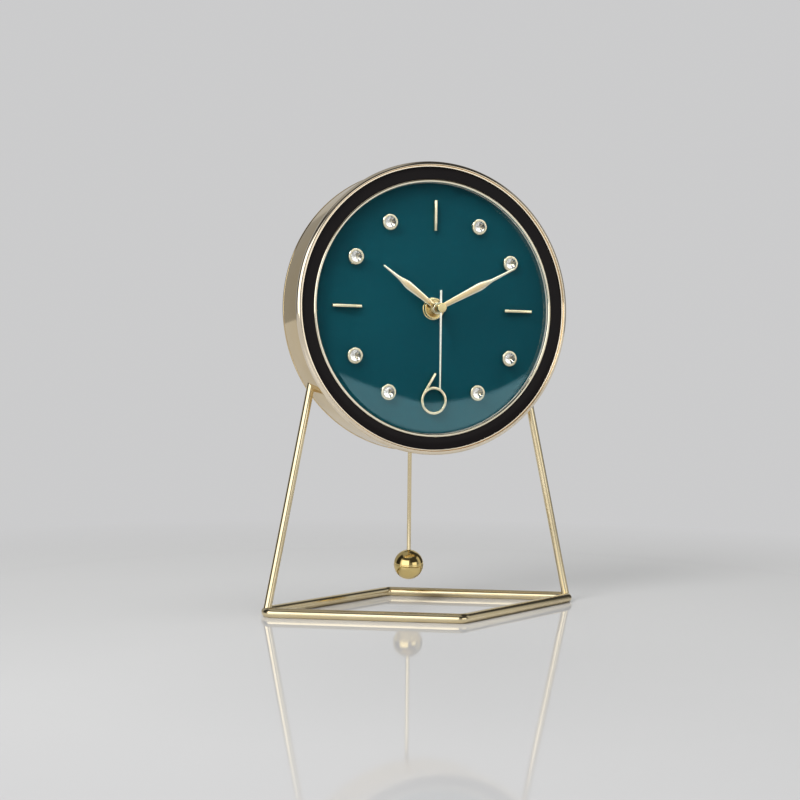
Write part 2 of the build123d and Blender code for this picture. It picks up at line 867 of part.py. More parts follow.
def make_middle_plate():
    half_width = inside_half_width - middle_plate_margin
    bottom = inside_bottom + middle_plate_margin / 2
    top = battery_rise - battery_bay_half - partition_thickness - middle_plate_margin / 2
    front = middle_plate_plane + middle_plate_thickness
    plate = rounded_slab(half_width, bottom, top, movement_corner_radius, middle_plate_plane, front)
    for side in (-half_width + post_inset, half_width - post_inset):
        for height in (bottom + post_inset, top - post_inset):
            plate += disc(post_radius, front, front_wall_inside, (side, height))
    for place in (third_at, intermediate_at, rotor_at, minute_wheel_at, setting_at):
        plate -= disc(bearing_radius, middle_plate_plane - overrun, front + overrun, place)
    return plate - disc(cannon_bore, middle_plate_plane - overrun, front + overrun)


def make_bush():
    return tube(bush_radius, bush_bore, front_wall_inside, bush_front)


def make_nut():
    nut = tube(nut_radius, bush_radius, nut_back, nut_back + nut_height)
    nut = chamfer(nut.edges().group_by(Axis.Z)[-1].sort_by(SortBy.RADIUS)[-1:], nut_groove_depth / 2)
    front = nut_back + nut_height
    floor = front - nut_groove_depth
    return nut - tube(nut_groove_outer_radius, nut_groove_inner_radius, floor, front + overrun)


# Motor, circuit and battery
def make_stator():
    front = stator_back + stator_thickness
    pole_bottom = rotor_at[1] - stator_pole_half_height
    pole_top = rotor_at[1] + stator_pole_half_height
    core_top = coil_core_bottom + coil_core_height
    poles = slab(stator_neck_end, stator_right, pole_bottom, pole_top, stator_back, front)
    neck_top = pole_bottom + stator_neck_height
    neck = slab(stator_left, stator_neck_end, pole_bottom, neck_top, stator_back, front)
    core = slab(stator_left, stator_right, coil_core_bottom, core_top, stator_back, front)
    left = slab(stator_left, stator_left + stator_leg_width, core_top, pole_bottom, stator_back, front)
    right = slab(stator_right - stator_leg_width, stator_right, core_top, pole_bottom, stator_back, front)
    frame = poles + neck + core + left + right
    return frame - disc(rotor_magnet_radius + stator_gap, stator_back - overrun, front + overrun, rotor_at)


def make_motor_coil():
    core_top = coil_core_bottom + coil_core_height
    middle = stator_back + stator_thickness / 2
    core_centre = coil_core_bottom + coil_core_height / 2
    outside = RectangleRounded(coil_core_height + 2 * coil_wall, coil_depth, coil_round)
    inside = Rectangle(coil_core_height, stator_thickness)
    winding = extrude(outside - inside, coil_right - coil_left)
    return Pos(coil_left, core_centre, middle) * Rot(0, 90, 0) * Rot(0, 0, 90) * winding


def make_board():
    front = board_back + board_thickness
    return slab(board_left, board_right, board_bottom, board_top, board_back, front)


def make_chip():
    front = board_back + board_thickness
    at = ((3 * board_left + board_right) / 4, (board_bottom + board_top) / 2)
    chip = disc(chip_radius, front, front + chip_height, at)
    return chamfer(chip.edges().group_by(Axis.Z)[-1], chip_height / 2)


def make_quartz_can():
    lift = board_back + board_thickness + can_radius
    at = Pos((board_left + board_right) / 2, (3 * board_bottom + board_top) / 4, lift)
    return at * Rot(0, 90, 0) * extrude(Circle(can_radius), can_length)


def make_battery():
    cell = extrude(Circle(battery_radius), battery_length)
    nub = Pos(0, 0, battery_length) * extrude(Circle(battery_nub_radius), battery_nub_length)
    start = -(battery_length + battery_nub_length) / 2
    return Pos(start, battery_rise, battery_depth_centre) * Rot(0, 90, 0) * (cell + nub)


def battery_reach():
    return (battery_length + battery_nub_length) / 2 + contact_gap


def make_contact():
    # A flat plate against the housing wall, with a sprung tongue that bows towards the battery
    wall = inside_half_width
    tongue = battery_reach()
    plate_face = wall - contact_thickness
    top = battery_rise + contact_half_width
    bottom = battery_rise - contact_half_width
    outline = [
        (wall, bottom),
        (wall, top),
        (plate_face, top),
        (tongue, battery_rise + contact_half_width / 4),
        (tongue, battery_rise - contact_half_width / 4),
        (tongue + contact_thickness, battery_rise - contact_half_width / 4),
        (tongue + contact_thickness, battery_rise + contact_half_width / 8),
        (plate_face, battery_rise + contact_half_width / 2),
        (plate_face, bottom),
    ]
    face = make_face(Polyline(outline, close=True))
    back = battery_depth_centre - contact_half_width
    return Pos(0, 0, back) * extrude(face, 2 * contact_half_width)


# Pendulum drive
pivot_at = (0, -pivot_drop)
drive_box_back = movement_back - drive_box_depth
hanger_front = hanger_thickness / 2 - pendulum_plane
hanger_back = hanger_front - hanger_thickness
drive_coil_at = (0, -drive_coil_drop)


def make_drive_box():
    half_width = drive_box_half_width
    box = slab(-half_width, half_width, -movement_bottom, -drive_box_top, drive_box_back, movement_back)
    box = fillet(box.edges().filter_by(Axis.Z), drive_box_round)
    box = chamfer(box.edges().group_by(Axis.Z)[0], drive_box_round / 2)
    box += disc(suspension_boss_radius, hanger_front + hanger_side_gap, drive_box_back, pivot_at)
    seat_end = drive_box_back + suspension_pin_seat
    box -= disc(suspension_pin_radius, drive_box_back - drive_box_depth, seat_end, pivot_at)
    groove_back = drive_box_back - overrun
    groove_front = drive_box_back + drive_coil_recess + drive_coil_depth
    groove = tube(drive_coil_outer_radius, drive_coil_inner_radius, groove_back, groove_front, drive_coil_at)
    return box - groove


def make_drive_coil():
    back = drive_box_back + drive_coil_recess
    front = back + drive_coil_depth
    return tube(drive_coil_outer_radius, drive_coil_inner_radius, back, front, drive_coil_at)


def make_suspension_pin():
    head_front = hanger_back - hanger_side_gap
    head_back = head_front - suspension_pin_head_height
    pin = disc(suspension_pin_radius, head_front, drive_box_back + suspension_pin_seat, pivot_at)
    return pin + disc(suspension_pin_head_radius, head_back, head_front, pivot_at)


def make_hanger():
    length = hanger_hole_drop - pivot_drop
    arm = Pos(0, -pivot_drop - length / 2) * Rectangle(hanger_arm_width, length)
    outline = arm + Pos(*pivot_at) * Circle(hanger_eye_radius)
    outline += Pos(*drive_coil_at) * Circle(hanger_disc_radius)
    outline += Pos(0, -hanger_hole_drop) * Circle(hanger_end_radius)
    outline -= Pos(*pivot_at) * Circle(suspension_pin_radius + running_clearance)
    outline -= Pos(0, -hanger_hole_drop) * Circle(hanger_hole_radius)
    return Pos(0, 0, hanger_back) * extrude(outline, hanger_thickness)


def rod_eye_centre():
    # The eye's wire rests on the two edges of the web under the hanger's hole
    inner = rod_eye_radius - rod_eye_wire_diameter / 2 - running_clearance
    return -hanger_hole_drop - hanger_hole_radius - sqrt(inner**2 - (hanger_thickness / 2) ** 2)


def make_pendulum_rod():
    eye_height = rod_eye_centre()
    ball_top = ball_centre_height - dial_centre_height + ball_diameter / 2
    ring = Torus(rod_eye_radius, rod_eye_wire_diameter / 2)
    eye = Pos(0, eye_height, -pendulum_plane) * Rot(0, 90, 0) * ring
    top = eye_height - rod_eye_radius
    bottom = ball_top - ball_socket_depth
    shaft = extrude(Circle(pendulum_rod_diameter / 2), top - bottom)
    return eye + Pos(0, top, -pendulum_plane) * Rot(90, 0, 0) * shaft


def make_pendulum_ball():
    centre_height = ball_centre_height - dial_centre_height
    ball = Pos(0, centre_height, -pendulum_plane) * Rot(90, 0, 0) * Sphere(ball_diameter / 2)
    top = centre_height + ball_diameter / 2
    socket = Pos(0, top + overrun, -pendulum_plane) * Rot(90, 0, 0)
    return ball - socket * extrude(Circle(pendulum_rod_diameter / 2), ball_socket_depth + overrun)


def group(places, piece):
    return Compound([place * piece for place in places])


def turned_to(angle, piece):
    return Rot(0, 0, -angle) * piece


def main():
    os.makedirs("parts", exist_ok=True)
    base_frame = make_base_frame()
    strut_right = make_strut(base_frame)
    save("base_frame", base_frame)
    save("strut_right", strut_right)
    save("strut_left", mirror(strut_right, Plane.YZ))

    hour_turn = shown_hour_angle + shown_minute_angle * minute_to_hour
    crystal_places = on_circle(crystal_circle_radius, [clock_angle(hour) for hour in crystal_hours])
    hour_hand = hand_blade(
        hour_hand_length,
        hour_hand_width,
        hour_hand_neck_share,
        hour_hand_boss_radius,
        hour_pipe_radius,
        hour_hand_plane,
    )
    minute_hand = hand_blade(
        minute_hand_length,
        minute_hand_width,
        minute_hand_neck_share,
        minute_hand_boss_radius,
        cannon_radius,
        minute_hand_plane,
    )
    magnet_front = rotor_magnet_back + rotor_magnet_length
    gasket_inner = glass_radius - gasket_width
    pieces = {
        "case_band": make_case_band(),
        "bezel_ring": make_bezel_ring(),
        "black_ring": make_black_ring(),
        "inner_rim": make_inner_rim(),
        "glass_lens": make_glass(),
        "glass_gasket": tube(glass_radius, gasket_inner, glass_back - gasket_depth, glass_back),
        "back_cover": make_back_cover(),
        "back_cover_screws": group(cover_screw_places(), make_cover_screw()),
        "dial_plate": make_dial(),
        "bar_12": make_bar(12),
        "bar_3": make_bar(3),
        "bar_9": make_bar(9),
        "numeral_six": make_numeral_six(),
        "crystal_cups": group(crystal_places, make_cup()),
        "crystal_stones": group(crystal_places, make_stone()),
        "hour_hand": turned_to(hour_turn, hour_hand),
        "minute_hand": turned_to(shown_minute_angle, minute_hand),
        "second_hand": turned_to(shown_second_angle, make_second_hand()),
        "second_hand_cap": make_second_cap(),
        "seconds_wheel": make_seconds_wheel(),
        "third_wheel": make_third_wheel(),
        "centre_wheel": make_centre_wheel(),
        "intermediate_wheel": make_intermediate_wheel(),
        "rotor_pinion": make_rotor_pinion(),
        "rotor_magnet": tube(rotor_magnet_radius, arbor_radius, rotor_magnet_back, magnet_front, rotor_at),
        "cannon_pinion": make_cannon_pinion(),
        "minute_wheel": make_minute_wheel(),
        "hour_wheel": make_hour_wheel(),
        "setting_wheel": make_setting_wheel(),
        "setting_knob": make_setting_knob(),
        "movement_front_shell": make_front_shell(),
        "movement_rear_shell": make_rear_shell(),
        "middle_plate": make_middle_plate(),
        "threaded_bush": make_bush(),
        "rubber_gasket": tube(rubber_radius, bush_radius, movement_front, dial_back),
        "dial_washer": tube(washer_radius, bush_radius, dial_front, nut_back),
        "dial_nut": make_nut(),
        "motor_stator": make_stator(),
        "motor_coil": make_motor_coil(),
        "circuit_board": make_board(),
        "circuit_chip": make_chip(),
        "quartz_can": make_quartz_can(),
        "battery": make_battery(),
        "battery_contact_plus": make_contact(),
        "battery_contact_minus": mirror(make_contact(), Plane.YZ),
        "drive_box": make_drive_box(),
        "drive_coil": make_drive_coil(),
        "suspension_pin": make_suspension_pin(),
        "pendulum_hanger": make_hanger(),
        "hanger_magnet": disc(magnet_radius, hanger_front, drive_box_back - magnet_gap, drive_coil_at),
        "pendulum_rod": make_pendulum_rod(),
        "pendulum_ball": make_pendulum_ball(),
    }
    for node, piece in pieces.items():
        save(node, upright(piece))


main()
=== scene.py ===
import bpy
import bmesh
from math import atan2, cos, pi, radians, sin, sqrt, tan
from mathutils import Matrix, Vector


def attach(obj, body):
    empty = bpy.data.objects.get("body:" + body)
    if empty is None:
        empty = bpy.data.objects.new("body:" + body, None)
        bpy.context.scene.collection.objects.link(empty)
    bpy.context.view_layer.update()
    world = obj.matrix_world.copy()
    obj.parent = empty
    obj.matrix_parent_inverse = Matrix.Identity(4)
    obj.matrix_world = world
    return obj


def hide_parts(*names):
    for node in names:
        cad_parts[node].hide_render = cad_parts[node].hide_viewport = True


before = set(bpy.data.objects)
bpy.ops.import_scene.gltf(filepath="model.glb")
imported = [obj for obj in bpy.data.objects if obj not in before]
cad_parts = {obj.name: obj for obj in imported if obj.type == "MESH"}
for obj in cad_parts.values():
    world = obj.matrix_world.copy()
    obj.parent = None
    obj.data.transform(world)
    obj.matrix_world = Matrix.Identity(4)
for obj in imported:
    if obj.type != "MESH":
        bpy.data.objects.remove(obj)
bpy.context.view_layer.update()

scene = bpy.context.scene
mm = 0.001
fullTurn = 2 * pi
dialZ = 186.8 * mm
forward = Vector((0, -1, 0))  # out of the dial, towards who reads it
across = Vector((1, 0, 0))
upwards = Vector((0, 0, 1))
dialCentre = Vector((0, 0, dialZ))
print("frame loaded:", len(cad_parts), "nodes")


# Shader nodes: one method adds any node, and a wire's operators add Math nodes
class Wire:
    def __init__(self, tree, socket):
        self.tree, self.socket = tree, socket

    def calc(self, operation, *values):
        inputs = dict(enumerate(values))
        return self.tree.add("ShaderNodeMath", {"operation": operation}, inputs)[0]

    def __add__(self, other): return self.calc("ADD", self, other)
    def __mul__(self, other): return self.calc("MULTIPLY", self, other)
    def __sub__(self, other): return self.calc("SUBTRACT", self, other)
    def __rsub__(self, other): return self.calc("SUBTRACT", other, self)
    def __truediv__(self, other): return self.calc("DIVIDE", self, other)
    def __gt__(self, other): return self.calc("GREATER_THAN", self, other)
    def __lt__(self, other): return self.calc("LESS_THAN", self, other)
    def __abs__(self): return self.calc("ABSOLUTE", self)
    __radd__ = __add__
    __rmul__ = __mul__

    def sine(self): return self.calc("SINE", self)
    def clamped(self): return self.calc("MINIMUM", self.calc("MAXIMUM", self, 0), 1)


class Made:
    def __init__(self, tree, node):
        self.tree, self.node = tree, node

    def __getitem__(self, key):
        return Wire(self.tree, self.node.outputs[key])


class Tree:
    def __init__(self, owner):
        owner.use_nodes = True
        self.nodes, self.links = owner.node_tree.nodes, owner.node_tree.links
        self.nodes.clear()

    def add(self, kind, settings=None, inputs=None):
        node = self.nodes.new(kind)
        for key, value in (settings or {}).items():
            setattr(node, key, value)
        for key, value in (inputs or {}).items():
            if isinstance(value, Wire):
                self.links.new(value.socket, node.inputs[key])
            else:
                node.inputs[key].default_value = value
        return Made(self, node)

    def place(self, move=(0, 0, 0), turn=(0, 0, 0), stretch=(1, 1, 1)):
        coords = self.add("ShaderNodeTexCoord")["Object"]
        shift = self.add("ShaderNodeVectorMath", {"operation": "SUBTRACT"}, {0: coords, 1: move})["Vector"]
        settings = {"vector_type": "TEXTURE"}
        values = {"Vector": shift, "Rotation": turn, "Scale": stretch}
        return self.add("ShaderNodeMapping", settings, values)["Vector"]

    def noise(self, vector, scale, detail=2, roughness=0.5):
        values = {"Vector": vector, "Scale": scale, "Detail": detail, "Roughness": roughness}
        return self.add("ShaderNodeTexNoise", None, values)["Fac"]

    def mix(self, share, first, second):
        values = {"Factor": share, 6: first, 7: second}
        return self.add("ShaderNodeMix", {"data_type": "RGBA"}, values)[2]

    def parts(self, vector):
        split = self.add("ShaderNodeSeparateXYZ", None, {0: vector})
        return split[0], split[1], split[2]

    def length(self, first, second):
        both = self.add("ShaderNodeCombineXYZ", None, {0: first, 1: second})["Vector"]
        return self.add("ShaderNodeVectorMath", {"operation": "LENGTH"}, {0: both})["Value"]

    def bump(self, height, strength, distance):
        values = {"Height": height, "Strength": strength, "Distance": distance}
        return self.add("ShaderNodeBump", None, values)["Normal"]

    def principled(self, inputs):
        return self.add("ShaderNodeBsdfPrincipled", None, inputs)["BSDF"]

    def surface(self, shader):
        self.add("ShaderNodeOutputMaterial", None, {"Surface": shader})


def newFinish(name):
    material = bpy.data.materials.new(name)
    return material, Tree(material)


def rgb(red, green, blue):
    return (red, green, blue, 1)


# Plated and bare metals
metalLooks = {
    "champagneStand": dict(tint=rgb(0.84, 0.72, 0.48), deep=rgb(0.76, 0.63, 0.38), rough=0.11, spread=0.04),
    "bandGold": dict(tint=rgb(0.77, 0.62, 0.38), deep=rgb(0.69, 0.54, 0.31), rough=0.08, spread=0.05),
    "bezelGold": dict(tint=rgb(0.90, 0.80, 0.64), deep=rgb(0.84, 0.72, 0.54), rough=0.06, spread=0.03),
    "rimGold": dict(tint=rgb(0.90, 0.84, 0.68), deep=rgb(0.85, 0.76, 0.56), rough=0.10, spread=0.03),
    "paleMarker": dict(tint=rgb(0.94, 0.86, 0.62), deep=rgb(0.88, 0.76, 0.48), rough=0.20, spread=0.06),
    "capGold": dict(tint=rgb(0.90, 0.77, 0.44), deep=rgb(0.84, 0.68, 0.34), rough=0.26, spread=0.06),
    "mirrorGold": dict(tint=rgb(0.82, 0.64, 0.28), deep=rgb(0.72, 0.54, 0.20), rough=0.045, spread=0.03),
    "zincSteel": dict(tint=rgb(0.58, 0.58, 0.57), deep=rgb(0.42, 0.42, 0.41), rough=0.32, spread=0.12),
    "nickelStrip": dict(tint=rgb(0.70, 0.67, 0.60), deep=rgb(0.55, 0.52, 0.46), rough=0.28, spread=0.10),
    "machinedBrass": dict(tint=rgb(0.80, 0.57, 0.24), deep=rgb(0.62, 0.42, 0.15), rough=0.25, spread=0.10),
}
metalGrain = dict(cloud=55, smear=420, fine=1900, bump=0.03, depth=0.02 * mm)


def makeMetal(name, tint, deep, rough, spread):
    material, tree = newFinish(name)
    where = tree.place()
    cloud = tree.noise(where, metalGrain["cloud"], 3)
    smear = tree.noise(where, metalGrain["smear"], 4, 0.65)
    colour = tree.mix((cloud * 1.6 - 0.4).clamped(), tint, deep)
    inputs = {
        "Base Color": colour,
        "Metallic": 1,
        "Roughness": rough + spread * (smear - 0.5),
        "Normal": tree.bump(tree.noise(where, metalGrain["fine"], 3), metalGrain["bump"], metalGrain["depth"]),
    }
    tree.surface(tree.principled(inputs))
    return material


finishes = {name: makeMetal(name, **look) for name, look in metalLooks.items()}

# Moulded and painted parts
mouldedLooks = {
    "textureBlack": dict(tint=rgb(0.022, 0.022, 0.024), deep=rgb(0.012, 0.012, 0.013),
                         rough=0.52, grain=1500, depth=0.30),
    "housingBlack": dict(tint=rgb(0.016, 0.016, 0.018), deep=rgb(0.009, 0.009, 0.010),
                         rough=0.40, grain=1100, depth=0.16),
    "naturalPlastic": dict(tint=rgb(0.74, 0.73, 0.69), deep=rgb(0.64, 0.62, 0.57),
                           rough=0.42, grain=700, depth=0.06),
    "rubber": dict(tint=rgb(0.020, 0.020, 0.020), deep=rgb(0.034, 0.033, 0.032),
                   rough=0.75, grain=900, depth=0.20),
    "ferrite": dict(tint=rgb(0.050, 0.050, 0.053), deep=rgb(0.095, 0.092, 0.090),
                    rough=0.60, grain=1600, depth=0.25),
    "boardGreen": dict(tint=rgb(0.020, 0.130, 0.050), deep=rgb(0.012, 0.085, 0.034),
                       rough=0.30, grain=500, depth=0.05),
    "chipResin": dict(tint=rgb(0.008, 0.008, 0.009), deep=rgb(0.014, 0.014, 0.015),
                      rough=0.22, grain=260, depth=0.10),
    "gasketClear": dict(tint=rgb(0.55, 0.54, 0.50), deep=rgb(0.48, 0.47, 0.43),
                        rough=0.48, grain=800, depth=0.05),
}
mouldedGrain = dict(cloud=90, spread=0.16, depth=0.15 * mm)


def makeMoulded(name, tint, deep, rough, grain, depth):
    material, tree = newFinish(name)
    where = tree.place()
    cloud = tree.noise(where, mouldedGrain["cloud"], 3)
    pores = tree.noise(where, grain, 4, 0.6)
    inputs = {
        "Base Color": tree.mix((cloud * 1.4 - 0.2).clamped(), tint, deep),
        "Roughness": rough + mouldedGrain["spread"] * (pores - 0.5),
        "Normal": tree.bump(pores, depth, mouldedGrain["depth"]),
    }
    tree.surface(tree.principled(inputs))
    return material


finishes.update({name: makeMoulded(name, **look) for name, look in mouldedLooks.items()})


# Deep teal paint: satin, with a very fine orange peel
dialPaint = dict(tint=rgb(0.0034, 0.061, 0.080), deep=rgb(0.0030, 0.052, 0.070), rough=0.48, spread=0.08,
                 cloud=14, peel=1400, shine=0.05, bump=0.06, depth=0.03 * mm)


def makeDialPaint():
    material, tree = newFinish("tealPaint")
    where = tree.place()
    cloud = tree.noise(where, dialPaint["cloud"], 2)
    peel = tree.noise(where, dialPaint["peel"], 3)
    inputs = {
        "Base Color": tree.mix((cloud * 2 - 0.5).clamped(), dialPaint["tint"], dialPaint["deep"]),
        "Roughness": dialPaint["rough"] + dialPaint["spread"] * (peel - 0.5),
        "Specular IOR Level": dialPaint["shine"],
        "Normal": tree.bump(peel, dialPaint["bump"], dialPaint["depth"]),
    }
    tree.surface(tree.principled(inputs))
    return material


finishes["tealPaint"] = makeDialPaint()


# Black lacquer of the flat front ring
lacquer = dict(tint=rgb(0.0075, 0.0068, 0.0072), warm=rgb(0.0115, 0.0090, 0.0090), rough=0.12, spread=0.05,
               cloud=30, peel=650, shine=0.06, bump=0.03, depth=0.03 * mm)


def makeLacquer():
    material, tree = newFinish("blackLacquer")
    where = tree.place()
    cloud = tree.noise(where, lacquer["cloud"], 3)
    peel = tree.noise(where, lacquer["peel"], 3)
    inputs = {
        "Base Color": tree.mix(cloud, lacquer["tint"], lacquer["warm"]),
        "Roughness": lacquer["rough"] + lacquer["spread"] * (peel - 0.5),
        "Specular IOR Level": lacquer["shine"],
        "Normal": tree.bump(peel, lacquer["bump"], lacquer["depth"]),
    }
    tree.surface(tree.principled(inputs))
    return material


finishes["blackLacquer"] = makeLacquer()


# Glass lets the lamps' light through by a Transparent shader for shadow rays
glassHaze = 260


def makeGlass(name, tint, deep, ior):
    material, tree = newFinish(name)
    haze = tree.noise(tree.place(), glassHaze, 4, 0.7)
    inputs = {
        "Base Color": tree.mix(haze, tint, deep),
        "Roughness": 0,
        "IOR": ior,
        "Transmission Weight": 1,
    }
    glass = tree.principled(inputs)
    clear = tree.add("ShaderNodeBsdfTransparent", None, {"Color": tint})["BSDF"]
    shadow = tree.add("ShaderNodeLightPath")["Is Shadow Ray"]
    tree.surface(tree.add("ShaderNodeMixShader", None, {0: shadow, 1: glass, 2: clear})["Shader"])
    return material


finishes["domeGlass"] = makeGlass("domeGlass", rgb(0.99, 1, 0.995), rgb(0.98, 0.99, 0.985), 1.5)
finishes["crystal"] = makeGlass("crystal", rgb(1, 0.99, 0.96), rgb(0.97, 0.95, 0.90), 1.62)


# Hands: brushed along their length, with a painted highlight: pale colour on the slopes along their sides and
# towards the tip
# The pale colour and its share here are the painted highlight on the hands
brushed = dict(stretch=33, streaks=5200, broad=900, slopeFrom=1.1 * mm, slopeBlend=0.6 * mm, tipBlend=9 * mm,
               pale=rgb(0.95, 0.94, 0.76), paleShare=0.85, spread=0.18, bump=0.10, depth=0.03 * mm)


def makeBrushed(name, tint, deep, rough, turn, highlightFrom):
    material, tree = newFinish(name)
    along = tree.place(move=dialCentre, turn=(0, turn, 0), stretch=(1, 1, brushed["stretch"]))
    streaks = tree.noise(along, brushed["streaks"], 3, 0.6)
    broad = tree.noise(along, brushed["broad"], 2)
    x, _, z = tree.parts(along)
    slopeHighlight = ((abs(x) - brushed["slopeFrom"]) / brushed["slopeBlend"]).clamped()
    tip = ((z * brushed["stretch"] - highlightFrom * mm) / brushed["tipBlend"]).clamped()
    plain = tree.mix((0.6 * streaks + 0.5 * broad).clamped(), tint, deep)
    inputs = {
        # Painted highlight: the pale colour is mixed in on the side slopes and towards the tip
        "Base Color": tree.mix(brushed["paleShare"] * tip.calc("MAXIMUM", tip, slopeHighlight), plain, brushed["pale"]),
        "Metallic": 1,
        "Roughness": rough + brushed["spread"] * (streaks - 0.5),
        "Normal": tree.bump(streaks, brushed["bump"], brushed["depth"]),
    }
    tree.surface(tree.principled(inputs))
    return material


# Turned brass: fine rings left by the lathe round the dial's axis, and painted shade and reflection: dark
# streaks fanning round the axis within the nut's groove
# The groove's edge and the two spoke settings place the painted shade and reflection streaks
lathe = dict(grooveEdge=5.3 * mm, fanBlades=3, fanTurn=0.8, smear=600, spread=0.10, bump=0.10, depth=0.02 * mm)
turnedLook = dict(tint=rgb(0.98, 0.83, 0.46), deep=rgb(0.50, 0.29, 0.06), rough=0.16, pitch=0.22, paintedStreakShare=0.9)


def makeTurned(name, tint, deep, rough, pitch, paintedStreakShare):
    material, tree = newFinish(name)
    x, _, z = tree.parts(tree.place(move=dialCentre))
    reach = tree.length(x, z)
    rings = (reach * (fullTurn / (pitch * mm))).sine()
    # Painted reflection and shade: dark streaks fanning round the axis, only inside the groove's edge
    reflectionFan = (lathe["fanBlades"] * x.calc("ARCTAN2", z, x) + lathe["fanTurn"]).sine()
    streaks = (reach < lathe["grooveEdge"]) * (0.55 + 0.45 * reflectionFan)
    smear = tree.noise(tree.place(), lathe["smear"], 3)
    share = (0.12 + 0.15 * rings + paintedStreakShare * streaks + 0.3 * (smear - 0.5)).clamped()
    inputs = {
        "Base Color": tree.mix(share, tint, deep),
        "Metallic": 1,
        "Roughness": rough + lathe["spread"] * (smear - 0.5),
        "Normal": tree.bump(rings, lathe["bump"], lathe["depth"]),
    }
    tree.surface(tree.principled(inputs))
    return material


finishes["turnedBrass"] = makeTurned("turnedBrass", **turnedLook)
paleTurnedLook = dict(tint=rgb(0.94, 0.84, 0.54), deep=rgb(0.84, 0.66, 0.30), rough=0.22, pitch=0.3, paintedStreakShare=0.3)
finishes["paleBrass"] = makeTurned("paleBrass", **paleTurnedLook)


# Windings and stacked sheets: fine lines across one axis
lined = dict(smear=500, spread=0.1, bump=0.4, depth=0.08 * mm)


def makeLined(name, axis, pitch, tint, deep, metallic, rough):
    material, tree = newFinish(name)
    line = (tree.parts(tree.place())[axis] * (fullTurn / (pitch * mm))).sine()
    smear = tree.noise(tree.place(), lined["smear"], 3)
    inputs = {
        "Base Color": tree.mix((0.5 + 0.4 * line + 0.3 * (smear - 0.5)).clamped(), tint, deep),
        "Metallic": metallic,
        "Roughness": rough + lined["spread"] * (smear - 0.5),
        "Normal": tree.bump(line, lined["bump"], lined["depth"]),
    }
    tree.surface(tree.principled(inputs))
    return material


linedLooks = {
    "copperWinding": dict(axis=0, pitch=0.25, tint=rgb(0.62, 0.22, 0.08), deep=rgb(0.38, 0.11, 0.04),
                          metallic=1, rough=0.35),
    "driveWinding": dict(axis=1, pitch=0.25, tint=rgb(0.62, 0.22, 0.08), deep=rgb(0.38, 0.11, 0.04),
                         metallic=1, rough=0.35),
    "laminations": dict(axis=1, pitch=0.40, tint=rgb(0.42, 0.42, 0.43), deep=rgb(0.27, 0.27, 0.28),
                        metallic=1, rough=0.4),
}
finishes.update({name: makeLined(name, **look) for name, look in linedLooks.items()})


# The cell's sleeve: dark grey with a copper-coloured band at the plus end, and bare steel at both ends
cellLook = dict(sleeve=rgb(0.030, 0.031, 0.034), band=rgb(0.55, 0.27, 0.10), steel=rgb(0.60, 0.60, 0.60),
                bandFrom=13.0, half=24.2, smear=300, rough=0.28, spread=0.08, bump=0.04, depth=0.05 * mm)


def makeCellSleeve():
    material, tree = newFinish("cellSleeve")
    where = tree.place()
    x = tree.parts(where)[0]
    band = x > cellLook["bandFrom"] * mm
    ends = abs(x) > cellLook["half"] * mm
    smear = tree.noise(where, cellLook["smear"], 3)
    colour = tree.mix(ends, tree.mix(band, cellLook["sleeve"], cellLook["band"]), cellLook["steel"])
    inputs = {
        "Base Color": colour,
        "Metallic": (0.8 * band + ends).clamped(),
        "Roughness": cellLook["rough"] + cellLook["spread"] * (smear - 0.5),
        "Normal": tree.bump(smear, cellLook["bump"], cellLook["depth"]),
    }
    tree.surface(tree.principled(inputs))
    return material


finishes["cellSleeve"] = makeCellSleeve()
print("finishes made:", len(finishes))


mergeWithin = dict(piece=1e-6, rod=5e-6, cadCopy=2e-6)  # metres
cutWithin = 1e-7


# Every piece ends here: doubles merged, normals outwards, smooth faces with sharp edges kept
def finishPiece(b, name, body, nodes, finish, sharp=32):
    bmesh.ops.remove_doubles(b, verts=b.verts[:], dist=mergeWithin["piece"])
    bmesh.ops.recalc_face_normals(b, faces=b.faces[:])
    mesh = bpy.data.meshes.new(name)
    b.to_mesh(mesh)
    b.free()
    mesh.shade_smooth()
    mesh.set_sharp_from_angle(angle=radians(sharp))
    mesh.materials.append(finishes[finish])
    piece = bpy.data.objects.new(name, mesh)
    scene.collection.objects.link(piece)
    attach(piece, body)
    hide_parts(*nodes)
    return piece


# A closed outline of (radius, height) turned round an axis; rounds lists (radius, corner numbers)
def turned(outline, origin=dialCentre, axis=forward, side=across, rounds=(), steps=192, segments=4):
    b = bmesh.new()
    corners = [b.verts.new(origin + side * r * mm + axis * h * mm) for r, h in outline]
    b.faces.new(corners)
    for radius, numbers in rounds:
        bmesh.ops.bevel(b, geom=[corners[i] for i in numbers], offset=radius * mm, segments=segments,
                        profile=0.5, affect="VERTICES", offset_type="OFFSET", material=-1)
    bmesh.ops.delete(b, geom=b.faces[:], context="FACES_ONLY")
    bmesh.ops.spin(b, geom=b.verts[:] + b.edges[:], cent=origin, axis=axis, angle=fullTurn,
                   steps=steps, use_merge=True)
    return b


def addTo(b, other):
    mesh = bpy.data.meshes.new("passing")
    other.to_mesh(mesh)
    other.free()
    b.from_mesh(mesh)
    bpy.data.meshes.remove(mesh)


def onlyVerts(geom):
    return [g for g in geom if isinstance(g, bmesh.types.BMVert)]


def onlyEdges(geom):
    return [g for g in geom if isinstance(g, bmesh.types.BMEdge)]


def boundaryEdges(b):
    return [edge for edge in b.edges if len(edge.link_faces) == 1]


# Base: a rhombus of round rod, bent at its corners and ground flat underneath
base = dict(halfWidth=107.2, halfDepth=60.1, rod=3.0, bend=5.5, ground=0.25, around=40, bendSteps=14)


